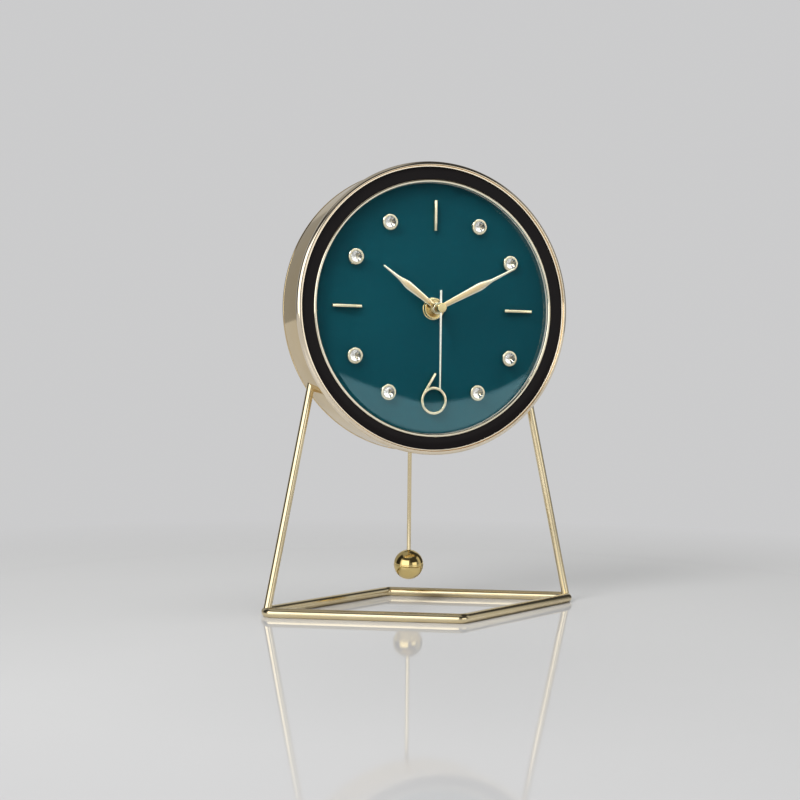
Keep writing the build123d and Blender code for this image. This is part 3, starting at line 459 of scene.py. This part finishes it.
def makeBase():
    sides = ((-1, 0), (0, -1), (1, 0), (0, 1))
    corners = [Vector((base["halfWidth"] * x, base["halfDepth"] * y, 0)) for x, y in sides]
    height = base["rod"] - base["ground"]
    b = bmesh.new()
    runs = [corners[(i + 1) % 4] - corners[i] for i in range(4)]
    turns = [runs[i].angle(runs[(i + 1) % 4]) for i in range(4)]
    trims = [base["bend"] * tan(turn / 2) for turn in turns]
    start = corners[0] + runs[0] / 2
    facing = runs[0].to_track_quat("Z", "Y").to_matrix().to_4x4()
    place = Matrix.Translation(Vector((start.x, start.y, height)) * mm) @ facing
    made = bmesh.ops.create_circle(b, segments=base["around"], radius=base["rod"] * mm, matrix=place)
    ring = list({edge for vert in made["verts"] for edge in vert.link_edges})
    at = start
    for i in range(5):
        run = runs[i % 4].normalized()
        if i < 4:
            end = corners[(i + 1) % 4] - run * trims[i]
        else:
            end = start
        grown = bmesh.ops.extrude_edge_only(b, edges=ring)["geom"]
        moved = onlyVerts(grown)
        bmesh.ops.translate(b, verts=moved, vec=(end - at) * mm)
        ring = [edge for edge in onlyEdges(grown) if all(vert in moved for vert in edge.verts)]
        if i < 4:
            left = Vector((-run.y, run.x, 0))
            centre = end + left * base["bend"]
            spun = bmesh.ops.spin(b, geom=ring, cent=(centre.x * mm, centre.y * mm, height * mm),
                                  axis=upwards, angle=turns[i], steps=base["bendSteps"])["geom_last"]
            ring = onlyEdges(spun)
            out = runs[(i + 1) % 4].normalized()
            at = corners[(i + 1) % 4] + out * trims[i]
    bmesh.ops.remove_doubles(b, verts=b.verts[:], dist=mergeWithin["rod"])
    bmesh.ops.bisect_plane(b, geom=b.verts[:] + b.edges[:] + b.faces[:], dist=cutWithin,
                           plane_co=(0, 0, 0), plane_no=(0, 0, -1), clear_outer=True)
    bmesh.ops.bridge_loops(b, edges=boundaryEdges(b))
    finishPiece(b, "baseRhombus", "clock", ["base_frame"], "champagneStand", 40)


makeBase()

# Struts: straight rods from the base's side corners to the case, cut to its round side
strut = dict(radius=2.4, footX=101.43, footZ=2.75, weldAngle=33.8, bandRadius=88.5, lean=5.1, sink=0.5,
             around=40)


def makeStrut(name, node, hand):
    angle = radians(strut["weldAngle"])
    outwards = Vector((hand * cos(angle), 0, -sin(angle)))
    foot = Vector((hand * strut["footX"], 0, strut["footZ"])) * mm
    weld = dialCentre + outwards * strut["bandRadius"] * mm + Vector((0, strut["lean"] * mm, 0))
    along = weld - foot
    length = along.length + 3 * strut["radius"] * mm
    facing = along.to_track_quat("Z", "Y").to_matrix().to_4x4()
    place = Matrix.Translation(foot + along.normalized() * length / 2) @ facing
    b = bmesh.new()
    bmesh.ops.create_cone(b, cap_ends=True, segments=strut["around"], radius1=strut["radius"] * mm,
                          radius2=strut["radius"] * mm, depth=length, matrix=place)
    bmesh.ops.bisect_plane(b, geom=b.verts[:] + b.edges[:] + b.faces[:], dist=cutWithin,
                           plane_co=weld - outwards * strut["sink"] * mm, plane_no=-outwards,
                           clear_outer=True)
    bmesh.ops.holes_fill(b, edges=boundaryEdges(b), sides=0)
    finishPiece(b, name, "clock", [node], "champagneStand", 40)


makeStrut("strutRodRight", "strut_right", 1)
makeStrut("strutRodLeft", "strut_left", -1)
print("stand made")

# Case: outlines in mm, as (radius, height in front of the clock's upright middle plane)
bandOutline = [
    (88.5, 13.25), (88.5, -13.7), (88.8, -14.0), (88.8, -15.7), (87.0, -15.7), (87.0, -14.0), (87.3, -13.8),
    (87.3, -13.3), (81.3, -13.3), (81.3, -10.9), (87.3, -10.9), (87.3, 7.8), (80.0, 7.8), (80.0, 9.0),
    (87.3, 9.0), (87.3, 13.25),
]
bezelOutline = [
    (88.3, 13.25), (88.3, 13.75), (90.0, 13.7), (90.0, 18.1), (87.8, 18.1), (87.6, 16.6), (87.4, 17.0),
    (86.6, 17.0), (86.6, 14.45), (79.2, 14.45), (79.2, 13.25), (85.6, 13.25), (85.6, 9.0), (87.2, 9.0),
    (87.2, 13.25),
]
ringOutline = [(79.2, 14.45), (86.6, 14.45), (86.6, 16.05), (79.2, 16.05)]
rimOutline = [(77.9, 10.2), (79.2, 10.2), (79.2, 16.6), (77.1, 16.6), (77.1, 15.5), (77.9, 15.5)]

band = turned(bandOutline, rounds=[(0.85, [3, 4]), (0.25, [0, 2, 5])], segments=6)
finishPiece(band, "caseBand", "clock", ["case_band"], "bandGold")
bezelRounds = [(1.6, [2]), (2.1, [3]), (0.08, [4]), (0.1, [6]), (0.35, [7])]
bezel = turned(bezelOutline, rounds=bezelRounds, segments=10)
finishPiece(bezel, "bezelBead", "clock", ["bezel_ring"], "bezelGold")
blackRing = turned(ringOutline, rounds=[(0.3, [2, 3])], segments=4)
finishPiece(blackRing, "lacquerRing", "clock", ["black_ring"], "blackLacquer")
rim = turned(rimOutline, rounds=[(1.0, [2, 3]), (0.05, [4])], segments=8)
finishPiece(rim, "innerRim", "clock", ["inner_rim"], "rimGold")

# Glass: two dome arcs, each spun from one vertex, and a flat flange held behind the rim's lip
dome = dict(edge=76.8, flange=77.8, front=15.5, back=13.7, rise=16.5, thick=1.8, arcSteps=40, around=160)


def domeArc(b, edge, height):
    rise = dome["rise"]
    sphere = (edge ** 2 + rise ** 2) / (2 * rise)
    apex = b.verts.new(dialCentre + forward * (height + rise) * mm)
    centre = dialCentre + forward * (height + rise - sphere) * mm
    spun = bmesh.ops.spin(b, geom=[apex], cent=centre, axis=upwards, angle=atan2(edge, sphere - rise),
                          steps=dome["arcSteps"])["geom_last"]
    return onlyVerts(spun)[0]


def makeDome():
    b = bmesh.new()
    outer = domeArc(b, dome["edge"], dome["front"])
    inner = domeArc(b, dome["edge"] - dome["thick"] / 2, dome["back"])
    flange = dialCentre + across * dome["flange"] * mm
    corners = [b.verts.new(flange + forward * h * mm) for h in (dome["front"], dome["back"])]
    for pair in zip([outer] + corners, corners + [inner]):
        b.edges.new(pair)
    bmesh.ops.spin(b, geom=b.verts[:] + b.edges[:], cent=dialCentre, axis=forward, angle=fullTurn,
                   steps=dome["around"], use_merge=True)
    finishPiece(b, "domedGlass", "clock", ["glass_lens"], "domeGlass", 50)


makeDome()
print("case made")

# Dial furniture
bars = dict(width=1.6, length=18.6, back=10.2, front=13.6, place=57.0, edge=0.14)
barHours = {"barTwelve": ("bar_12", 0), "barThree": ("bar_3", 90), "barNine": ("bar_9", 270)}
for name, (node, clockwise) in barHours.items():
    b = bmesh.new()
    size = Matrix.Diagonal((bars["width"] * mm, (bars["front"] - bars["back"]) * mm, bars["length"] * mm, 1))
    middle = Vector((0, -(bars["front"] + bars["back"]) / 2 * mm, bars["place"] * mm))
    turn = Matrix.Rotation(radians(clockwise), 4, "Y")
    place = Matrix.Translation(dialCentre) @ turn @ Matrix.Translation(middle)
    bmesh.ops.create_cube(b, size=1, matrix=place @ size)
    bmesh.ops.bevel(b, geom=b.edges[:], offset=bars["edge"] * mm, segments=2, profile=0.5,
                    affect="EDGES", material=-1)
    finishPiece(b, name, "clock", [node], "paleMarker", 60)


softening = dict(flatWithin=0.6, keenFrom=35, segments=2)  # both angles in degrees


# A copy of a CAD node, merged into whole faces, with its sharp edges softened
def refined(name, node, body, finish, edge, sharp=34):
    b = bmesh.new()
    b.from_mesh(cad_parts[node].data)
    bmesh.ops.remove_doubles(b, verts=b.verts[:], dist=mergeWithin["cadCopy"])
    flatWithin, keenFrom = radians(softening["flatWithin"]), radians(softening["keenFrom"])
    bmesh.ops.dissolve_limit(b, angle_limit=flatWithin, verts=b.verts[:], edges=b.edges[:])
    keen = [e for e in b.edges if len(e.link_faces) == 2 and e.calc_face_angle(0) > keenFrom]
    bmesh.ops.bevel(b, geom=keen, offset=edge * mm, segments=softening["segments"], profile=0.5,
                    affect="EDGES", clamp_overlap=True, material=-1)
    return finishPiece(b, name, body, [node], finish, sharp)


refined("sixFigure", "numeral_six", "clock", "paleMarker", 0.14, 50)

# Crystals: a turned cup with a rolled lip holds each cut stone
crystals = dict(hours=(1, 2, 4, 5, 7, 8, 10, 11), circle=59.5 * mm)
cupLook = dict(tint=rgb(0.90, 0.84, 0.66), deep=rgb(0.76, 0.66, 0.44), dark=rgb(0.055, 0.045, 0.035),
               rough=0.14, spread=0.08, smear=600, bump=0.03, depth=0.02 * mm, seat=3.35 * mm, facets=7)


# Cups are pale gold, with a painted reflection: dark wedges in the seat under each stone, for the dark facets
# seen in the cut stone
def makeCupGold():
    material, tree = newFinish("cupGold")
    where = tree.place(move=dialCentre)
    x, _, z = tree.parts(where)
    hourStep = pi / 6
    away = x.calc("FLOORED_MODULO", x.calc("ARCTAN2", z, x) + hourStep / 2, hourStep) - hourStep / 2
    reach = tree.length(x, z)
    outwards = reach * (away + pi / 2).sine() - crystals["circle"]
    sideways = reach * away.sine()
    seat = tree.length(outwards, sideways) < cupLook["seat"]
    # Painted reflection: dark wedges round each stone's seat
    facetReflection = (cupLook["facets"] * x.calc("ARCTAN2", sideways, outwards)).sine() > 0
    smear = tree.noise(where, cupLook["smear"], 4, 0.6)
    plain = tree.mix((1.6 * smear - 0.3).clamped(), cupLook["tint"], cupLook["deep"])
    inputs = {
        "Base Color": tree.mix(seat * facetReflection, plain, cupLook["dark"]),
        "Metallic": 1,
        "Roughness": cupLook["rough"] + cupLook["spread"] * (smear - 0.5),
        "Normal": tree.bump(smear, cupLook["bump"], cupLook["depth"]),
    }
    tree.surface(tree.principled(inputs))
    return material


finishes["cupGold"] = makeCupGold()
cupOutline = [(0, 10.2), (4.5, 10.2), (5.0, 11.1), (5.0, 13.4), (3.4, 13.4), (0.45, 11.1), (0, 11.1)]
cupRounds = [(0.75, [3]), (0.15, [4]), (0.35, [2])]
cups = bmesh.new()
for hour in crystals["hours"]:
    angle = radians(90 - 30 * hour)
    centre = dialCentre + Vector((cos(angle), 0, sin(angle))) * crystals["circle"]
    addTo(cups, turned(cupOutline, origin=centre, rounds=cupRounds, steps=48, segments=5))
finishPiece(cups, "crystalCups", "clock", ["crystal_cups"], "cupGold")

# Washer, nut and threaded bush at the dial's centre
centreParts = {
    "dialWasher": dict(node="dial_washer", finish="paleBrass", rounds=[(0.2, [2])],
                       outline=[(4.0, 10.2), (6.9, 10.2), (6.9, 10.8), (4.0, 10.8)]),
    "dialNut": dict(node="dial_nut", finish="turnedBrass", rounds=[(0.45, [2]), (0.15, [3, 6])],
                    outline=[(4.05, 10.8), (6.5, 10.8), (6.5, 13.4), (5.6, 13.4), (5.6, 12.6), (4.6, 12.6),
                             (4.6, 13.4), (4.05, 13.4)]),
    "threadedBush": dict(node="threaded_bush", finish="turnedBrass", rounds=[(0.25, [2, 3])],
                         outline=[(2.5, 6.4), (4.0, 6.4), (4.0, 14.2), (2.5, 14.2)]),
}
for name, part in centreParts.items():
    b = turned(part["outline"], rounds=part["rounds"], steps=96)
    finishPiece(b, name, "clock", [part["node"]], part["finish"])
print("dial furniture made")

# Hands, drawn pointing up and then turned clockwise to the time
handLooks = {
    "hourHand": dict(node="hour_hand", body="hour", turn=305.25, length=43.3, wide=5.0, wideAt=0.55, neck=1.9,
                     neckAt=0.71, boss=3.5, bore=2.45, back=16.4),
    "minuteHand": dict(node="minute_hand", body="minute", turn=63.0, length=57.05, wide=4.9, wideAt=0.55,
                       neck=1.9, neckAt=0.69, boss=3.3, bore=1.6, back=19.4),
}
handShape = dict(base=2.6, tip=1.1, thick=0.5, slope=0.22, slopeWidth=0.62, bendReach=2.0, bossHeight=1.2)
handGold = dict(tint=rgb(0.93, 0.78, 0.50), deep=rgb(0.87, 0.65, 0.36), rough=0.20)


def makeHand(name, node, body, turn, length, wide, wideAt, neck, neckAt, boss, bore, back):
    b = bmesh.new()
    half = [(handShape["base"] / 2, 0), (wide / 2, wideAt * length), (neck / 2, neckAt * length),
            (handShape["tip"] / 2, length - handShape["tip"] / 2)]
    left = [(-x, z) for x, z in reversed(half)]
    floor = dialCentre + forward * back * mm
    verts = [b.verts.new(floor + across * x * mm + upwards * z * mm) for x, z in half + [(0, length)] + left]
    b.faces.new(verts)
    bends = [verts[i] for i in (1, 2, 6, 7)]
    bmesh.ops.bevel(b, geom=bends, offset=handShape["bendReach"] * mm, segments=6, profile=0.5,
                    affect="VERTICES", offset_type="OFFSET", material=-1)
    lift = handShape["thick"] - handShape["slope"]
    grown = bmesh.ops.extrude_face_region(b, geom=b.faces[:])["geom"]
    front = [g for g in grown if isinstance(g, bmesh.types.BMFace)]
    bmesh.ops.translate(b, verts=onlyVerts(grown), vec=forward * lift * mm)
    bmesh.ops.recalc_face_normals(b, faces=b.faces[:])
    bmesh.ops.inset_region(b, faces=front, thickness=handShape["slopeWidth"] * mm,
                           depth=handShape["slope"] * mm, use_even_offset=True)
    top = back + handShape["thick"]
    step, low = 0.5, back - handShape["bossHeight"] + 0.5
    bossOutline = [(bore, low), (boss - step, low), (boss - step, back), (boss, back), (boss, top), (bore, top)]
    addTo(b, turned(bossOutline, rounds=[(0.2, [4])], steps=64, segments=3))
    bmesh.ops.rotate(b, verts=b.verts[:], cent=dialCentre, matrix=Matrix.Rotation(radians(turn), 3, "Y"))
    finishes[name] = makeBrushed(name + "Brushed", turn=radians(turn), highlightFrom=wideAt * length, **handGold)
    finishPiece(b, name, body, [node], name, 25)


for name, look in handLooks.items():
    makeHand(name, **look)

secondLook = dict(turn=180, tip=49.2, tail=10.8, width=1.3, tipWidth=0.9, back=22.35, thick=0.35, hub=2.6,
                  bore=0.55, edge=0.12)
secondGold = dict(tint=rgb(0.98, 0.96, 0.88), deep=rgb(0.96, 0.92, 0.80), rough=0.26, turn=pi, highlightFrom=20)


def makeSecondHand():
    b = bmesh.new()
    half, tipHalf = secondLook["width"] / 2, secondLook["tipWidth"] / 2
    floor = dialCentre + forward * secondLook["back"] * mm
    tip, tail = secondLook["tip"], -secondLook["tail"]
    outline = [(half, tail), (half, 0), (tipHalf, tip), (-tipHalf, tip), (-half, 0), (-half, tail)]
    b.faces.new([b.verts.new(floor + across * x * mm + upwards * z * mm) for x, z in outline])
    grown = bmesh.ops.extrude_face_region(b, geom=b.faces[:])["geom"]
    lift = forward * secondLook["thick"] * mm
    bmesh.ops.translate(b, verts=onlyVerts(grown), vec=lift)
    bmesh.ops.recalc_face_normals(b, faces=b.faces[:])
    level = (floor + lift).y
    rims = [e for e in b.edges if all(abs(v.co.y - level) < 1e-6 for v in e.verts)]
    bmesh.ops.bevel(b, geom=rims, offset=secondLook["edge"] * mm, segments=2, profile=0.5,
                    affect="EDGES", material=-1)
    bore, hub = secondLook["bore"], secondLook["hub"]
    back, top = secondLook["back"], secondLook["back"] + secondLook["thick"]
    addTo(b, turned([(bore, back), (hub, back), (hub, top), (bore, top)], steps=64))
    facing = Matrix.Rotation(radians(secondLook["turn"]), 3, "Y")
    bmesh.ops.rotate(b, verts=b.verts[:], cent=dialCentre, matrix=facing)
    finishes["secondPale"] = makeBrushed("secondPale", **secondGold)
    finishPiece(b, "secondHand", "second", ["second_hand"], "secondPale", 25)


makeSecondHand()
capOutline = [(0.55, 22.7), (3.0, 22.7), (3.0, 24.9), (0, 24.9), (0, 23.8), (0.55, 23.8)]
cap = turned(capOutline, rounds=[(0.5, [2]), (0.2, [1])], steps=72, segments=5)
finishPiece(cap, "secondHandCap", "second", ["second_hand_cap"], "capGold")
print("hands made")

# Pendulum
pendulum = dict(plane=23.9, ballZ=24.9, ballRadius=9.5, eyeZ=145.498, eyeRadius=4.5, wire=1.0, rod=1.3,
                socket=5.0, lip=0.35)
pendulumAxis = Vector((0, pendulum["plane"] * mm, 0))


def makeRod():
    top = pendulum["eyeZ"] - pendulum["eyeRadius"]
    bottom = pendulum["ballZ"] + pendulum["ballRadius"] - pendulum["socket"]
    outline = [(0, bottom), (pendulum["rod"], bottom), (pendulum["rod"], top), (0, top + 0.4)]
    b = turned(outline, pendulumAxis, upwards, across, steps=40)
    eye = bmesh.new()
    centre = Vector((0, pendulum["plane"], pendulum["eyeZ"])) * mm
    lowest = centre - upwards * pendulum["eyeRadius"] * mm
    section = Matrix.Translation(lowest) @ Matrix.Rotation(pi / 2, 4, "X")
    bmesh.ops.create_circle(eye, segments=20, radius=pendulum["wire"] * mm, matrix=section)
    bmesh.ops.spin(eye, geom=eye.verts[:] + eye.edges[:], cent=centre, axis=across, angle=fullTurn,
                   steps=48, use_merge=True)
    addTo(b, eye)
    finishPiece(b, "pendulumRod", "pendulum", ["pendulum_rod"], "champagneStand")


def makeBall():
    b = bmesh.new()
    centre = Vector((0, pendulum["plane"], pendulum["ballZ"])) * mm
    pole = b.verts.new(centre - upwards * pendulum["ballRadius"] * mm)
    lip = pendulum["rod"] + pendulum["lip"]
    sweep = pi - atan2(lip, sqrt(pendulum["ballRadius"] ** 2 - lip ** 2))
    spun = bmesh.ops.spin(b, geom=[pole], cent=centre, axis=(0, -1, 0), angle=sweep, steps=44)["geom_last"]
    rimVert = onlyVerts(spun)[0]
    inward = -1 if rimVert.co.x > 0 else 1
    socketFloor = pendulum["ballRadius"] - pendulum["socket"]
    drop = [(lip - 0.3, pendulum["ballRadius"] - 0.45), (lip - 0.33, socketFloor), (0, socketFloor)]
    last = rimVert
    for r, h in drop:
        fresh = b.verts.new(centre + across * (-inward * r) * mm + upwards * h * mm)
        b.edges.new((last, fresh))
        last = fresh
    bmesh.ops.spin(b, geom=b.verts[:] + b.edges[:], cent=centre, axis=upwards, angle=fullTurn,
                   steps=96, use_merge=True)
    finishPiece(b, "pendulumBall", "pendulum", ["pendulum_ball"], "mirrorGold", 40)


makeRod()
makeBall()
print("pendulum made")

# Back of the clock: CAD shapes with softened edges
softened = {
    "backCover": ("back_cover", "clock", "cover_black", "textureBlack", 0.3),
    "coverScrews": ("back_cover_screws", "clock", "screw_steel", "zincSteel", 0.12),
    "rearShell": ("movement_rear_shell", "clock", "housing_black", "housingBlack", 0.3),
    "frontShell": ("movement_front_shell", "clock", "housing_black", "housingBlack", 0.3),
    "driveBox": ("drive_box", "clock", "housing_black", "housingBlack", 0.25),
    "settingKnob": ("setting_knob", "setting", "housing_black", "housingBlack", 0.15),
    "suspensionPin": ("suspension_pin", "clock", "screw_steel", "zincSteel", 0.15),
    "pendulumHanger": ("pendulum_hanger", "pendulum", "hanger_white", "naturalPlastic", 0.2),
    "cell": ("battery", "cell", "cell_wrap", "cellSleeve", 0.4),
}
for name, (node, body, slotName, finish, edge) in softened.items():
    refined(name, node, body, finish, edge)

# CAD nodes whose shape is right keep it and get a finish
keptNodes = {
    "tealPaint": ["dial_plate"],
    "crystal": ["crystal_stones"],
    "gasketClear": ["glass_gasket"],
    "naturalPlastic": ["seconds_wheel", "third_wheel", "centre_wheel", "intermediate_wheel", "rotor_pinion",
                       "minute_wheel", "hour_wheel", "setting_wheel", "middle_plate"],
    "machinedBrass": ["cannon_pinion"],
    "ferrite": ["rotor_magnet", "hanger_magnet"],
    "rubber": ["rubber_gasket"],
    "laminations": ["motor_stator"],
    "copperWinding": ["motor_coil"],
    "driveWinding": ["drive_coil"],
    "boardGreen": ["circuit_board"],
    "chipResin": ["circuit_chip"],
    "zincSteel": ["quartz_can"],
    "nickelStrip": ["battery_contact_plus", "battery_contact_minus"],
}
for finish, nodes in keptNodes.items():
    for node in nodes:
        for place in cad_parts[node].material_slots:
            place.material = finishes[finish]
print("CAD nodes dressed")

# Studio: a pale floor that fades into the backdrop, a room that metal and glass mirror, and soft lamps
# The cool and the dark tone at the end of this table are painted reflection: what the floor glows for the
# glass's mirror rays
studio = dict(backdrop=rgb(0.60, 0.60, 0.605), table=rgb(0.66, 0.66, 0.665), veined=rgb(0.60, 0.60, 0.605),
              tableEdge=0.34, fadeEnd=0.62, floorHalf=6.0, mirrored=rgb(0.66, 1.10, 1.20),
              dark=rgb(0.008, 0.008, 0.008),
              mirrorEdges=((0, 0.188), (0.5, 0.2175)), mirrorBlur=0.012)  # slope and reach of each edge, m


def makeFloor():
    b = bmesh.new()
    bmesh.ops.create_grid(b, x_segments=1, y_segments=1, size=studio["floorHalf"])
    mesh = bpy.data.meshes.new("floor")
    b.to_mesh(mesh)
    b.free()
    material, tree = newFinish("paleTable")
    where = tree.place()
    x, y, _ = tree.parts(where)
    fade = ((tree.length(x, y) - studio["tableEdge"]) / (studio["fadeEnd"] - studio["tableEdge"])).clamped()
    inputs = {
        "Base Color": tree.mix(0.3 * tree.noise(where, 6, 4), studio["table"], studio["veined"]),
        "Roughness": 0.05,
        "Specular IOR Level": 0.5,
    }
    top = tree.principled(inputs)
    flat = tree.add("ShaderNodeEmission", None, {"Color": studio["backdrop"], "Strength": 1})["Emission"]
    pale = tree.add("ShaderNodeMixShader", None, {0: fade, 1: top, 2: flat})["Shader"]
    # Painted reflection: for the glass's sharp mirror rays the floor glows a cool tone up to its near edges,
    # and dark beyond them
    path = tree.add("ShaderNodeLightPath")
    outside = path["Is Singular Ray"] * (path["Transmission Depth"] < 3)
    beyond = 1
    for slope, reach in studio["mirrorEdges"]:
        beyond = beyond * ((slope * x - y - reach) / studio["mirrorBlur"]).clamped()
    paintedReflectionTone = tree.mix(beyond, studio["mirrored"], studio["dark"])
    mirrored = tree.add("ShaderNodeEmission", None, {"Color": paintedReflectionTone, "Strength": 1})["Emission"]
    tree.surface(tree.add("ShaderNodeMixShader", None, {0: outside, 1: pale, 2: mirrored})["Shader"])
    mesh.materials.append(material)
    floor = bpy.data.objects.new("floor", mesh)
    scene.collection.objects.link(floor)


makeFloor()

# Parts of the room in degrees round the clock (0 in front, right positive) and above its level
allRound = (-400, 400)
roomBase = 0.52
roomParts = {
    "dimFront": dict(turn=(-90, 70), rise=(-30, 60), blur=10, level=0.24),
    "windowLeft": dict(turn=(-88, -17), rise=(-14, 36), blur=5, level=1.9),
    "windowRight": dict(turn=(6, 46), rise=(-14, 32), blur=5, level=1.3),
    "ceiling": dict(turn=allRound, rise=(52, 100), blur=8, level=0.36),
    "beam": dict(turn=allRound, rise=(38, 56), blur=5, level=0.05),
    "ceilingRight": dict(turn=(24, 150), rise=(46, 78), blur=6, level=0.045),
    "darkRight": dict(turn=(86, 132), rise=(-30, 60), blur=8, level=0.05),
    "darkLeft": dict(turn=(-142, -90), rise=(-30, 60), blur=8, level=0.03),
    "wallLeft": dict(turn=(-190, -132), rise=(-20, 60), blur=12, level=0.34),
    "darkUpper": dict(turn=(-12, 60), rise=(15, 56), blur=5, level=0.05),
}
glassParts = {
    "darkFront": dict(turn=(-60, 100), rise=(-90, 70), blur=10, level=0.008),
}
insideBase = 1.9  # what the hands and markers mirror through the glass
insideParts = {
    "plainFront": dict(turn=(0, 42), rise=(-20, 22), blur=9, level=0.86),
    "darkRight": dict(turn=(70, 180), rise=(-90, 90), blur=15, level=0.14),
    "darkBelow": dict(turn=allRound, rise=(-100, -44), blur=12, level=0.10),
    "darkAbove": dict(turn=allRound, rise=(48, 100), blur=12, level=0.10),
    "darkLeft": dict(turn=(-150, -22), rise=(-90, 90), blur=10, level=0.12),
}


def roomShade(tree, base, parts):
    x, y, z = tree.parts(tree.add("ShaderNodeTexCoord")["Generated"])
    turn = x.calc("ARCTAN2", x, -1 * y) * (180 / pi)
    rise = z.calc("ARCSINE", z) * (180 / pi)
    shade = base
    for part in parts.values():
        mask = 1
        for angle, (low, high) in ((turn, part["turn"]), (rise, part["rise"])):
            mask = mask * ((angle - low) / part["blur"]).clamped() * ((high - angle) / part["blur"]).clamped()
        shade = shade + mask * (part["level"] - shade)
    return shade


def makeRoom():
    world = bpy.data.worlds.new("room")
    scene.world = world
    tree = Tree(world)
    path = tree.add("ShaderNodeLightPath")
    shade = roomShade(tree, roomBase, roomParts)
    mirrored = roomShade(tree, roomBase, glassParts)
    inside = roomShade(tree, insideBase, insideParts)
    shade = shade + path["Is Singular Ray"] * (mirrored - shade)  # only glass mirrors this sharply
    shade = shade + (path["Transmission Depth"] > 3) * (inside - shade)  # out through the glass again
    room = tree.add("ShaderNodeBackground", None, {"Color": rgb(1, 1, 0.99), "Strength": shade})["Background"]
    plain = tree.add("ShaderNodeBackground", None, {"Color": studio["backdrop"], "Strength": 1})["Background"]
    both = tree.add("ShaderNodeMixShader", None, {0: path["Is Camera Ray"], 1: room, 2: plain})["Shader"]
    tree.add("ShaderNodeOutputWorld", None, {"Surface": both})


makeRoom()

lampAim = Vector((0, 0, 0.14))
lamps = {
    "keySoft": dict(at=(-1.06, -0.66, 1.16), size=(0.55, 0.75), power=17),
    "topSoft": dict(at=(0.25, -0.35, 1.75), size=(0.9, 0.7), power=8),
    "backSoft": dict(at=(0.5, 1.5, 1.3), size=(1.2, 1.0), power=9),
}
for name, look in lamps.items():
    light = bpy.data.lights.new(name, "AREA")
    light.shape = "RECTANGLE"
    light.size, light.size_y = look["size"]
    light.energy = look["power"]
    lamp = bpy.data.objects.new(name, light)
    lamp.location = look["at"]
    lamp.rotation_mode = "QUATERNION"
    lamp.rotation_quaternion = (Vector(look["at"]) - lampAim).to_track_quat("Z", "Y")
    lamp.visible_glossy = False  # metal and glass mirror the room's windows instead
    scene.collection.objects.link(lamp)

# Camera: fitted to the photograph's edges; the picture is 800 by 800
view = dict(at=(-348.6, -819.1, 136.9), azimuth=-22.05, elevation=0.43, roll=0.62, focal=1425, width=800,
            sensor=36)


def makeCamera():
    azimuth, elevation, roll = (radians(view[k]) for k in ("azimuth", "elevation", "roll"))
    back = Vector((sin(azimuth) * cos(elevation), -cos(azimuth) * cos(elevation), sin(elevation)))
    right = (-back).cross(upwards).normalized()
    up = right.cross(-back)
    sideways = cos(roll) * right + sin(roll) * up
    top = cos(roll) * up - sin(roll) * right
    data = bpy.data.cameras.new("camera")
    data.sensor_width = view["sensor"]
    data.lens = view["focal"] / view["width"] * data.sensor_width
    camera = bpy.data.objects.new("camera", data)
    turn = Matrix((sideways, top, back)).transposed().to_4x4()
    camera.matrix_world = Matrix.Translation(Vector(view["at"]) * mm) @ turn
    scene.collection.objects.link(camera)
    scene.camera = camera


makeCamera()
scene.view_settings.view_transform = "Standard"
print("studio made")
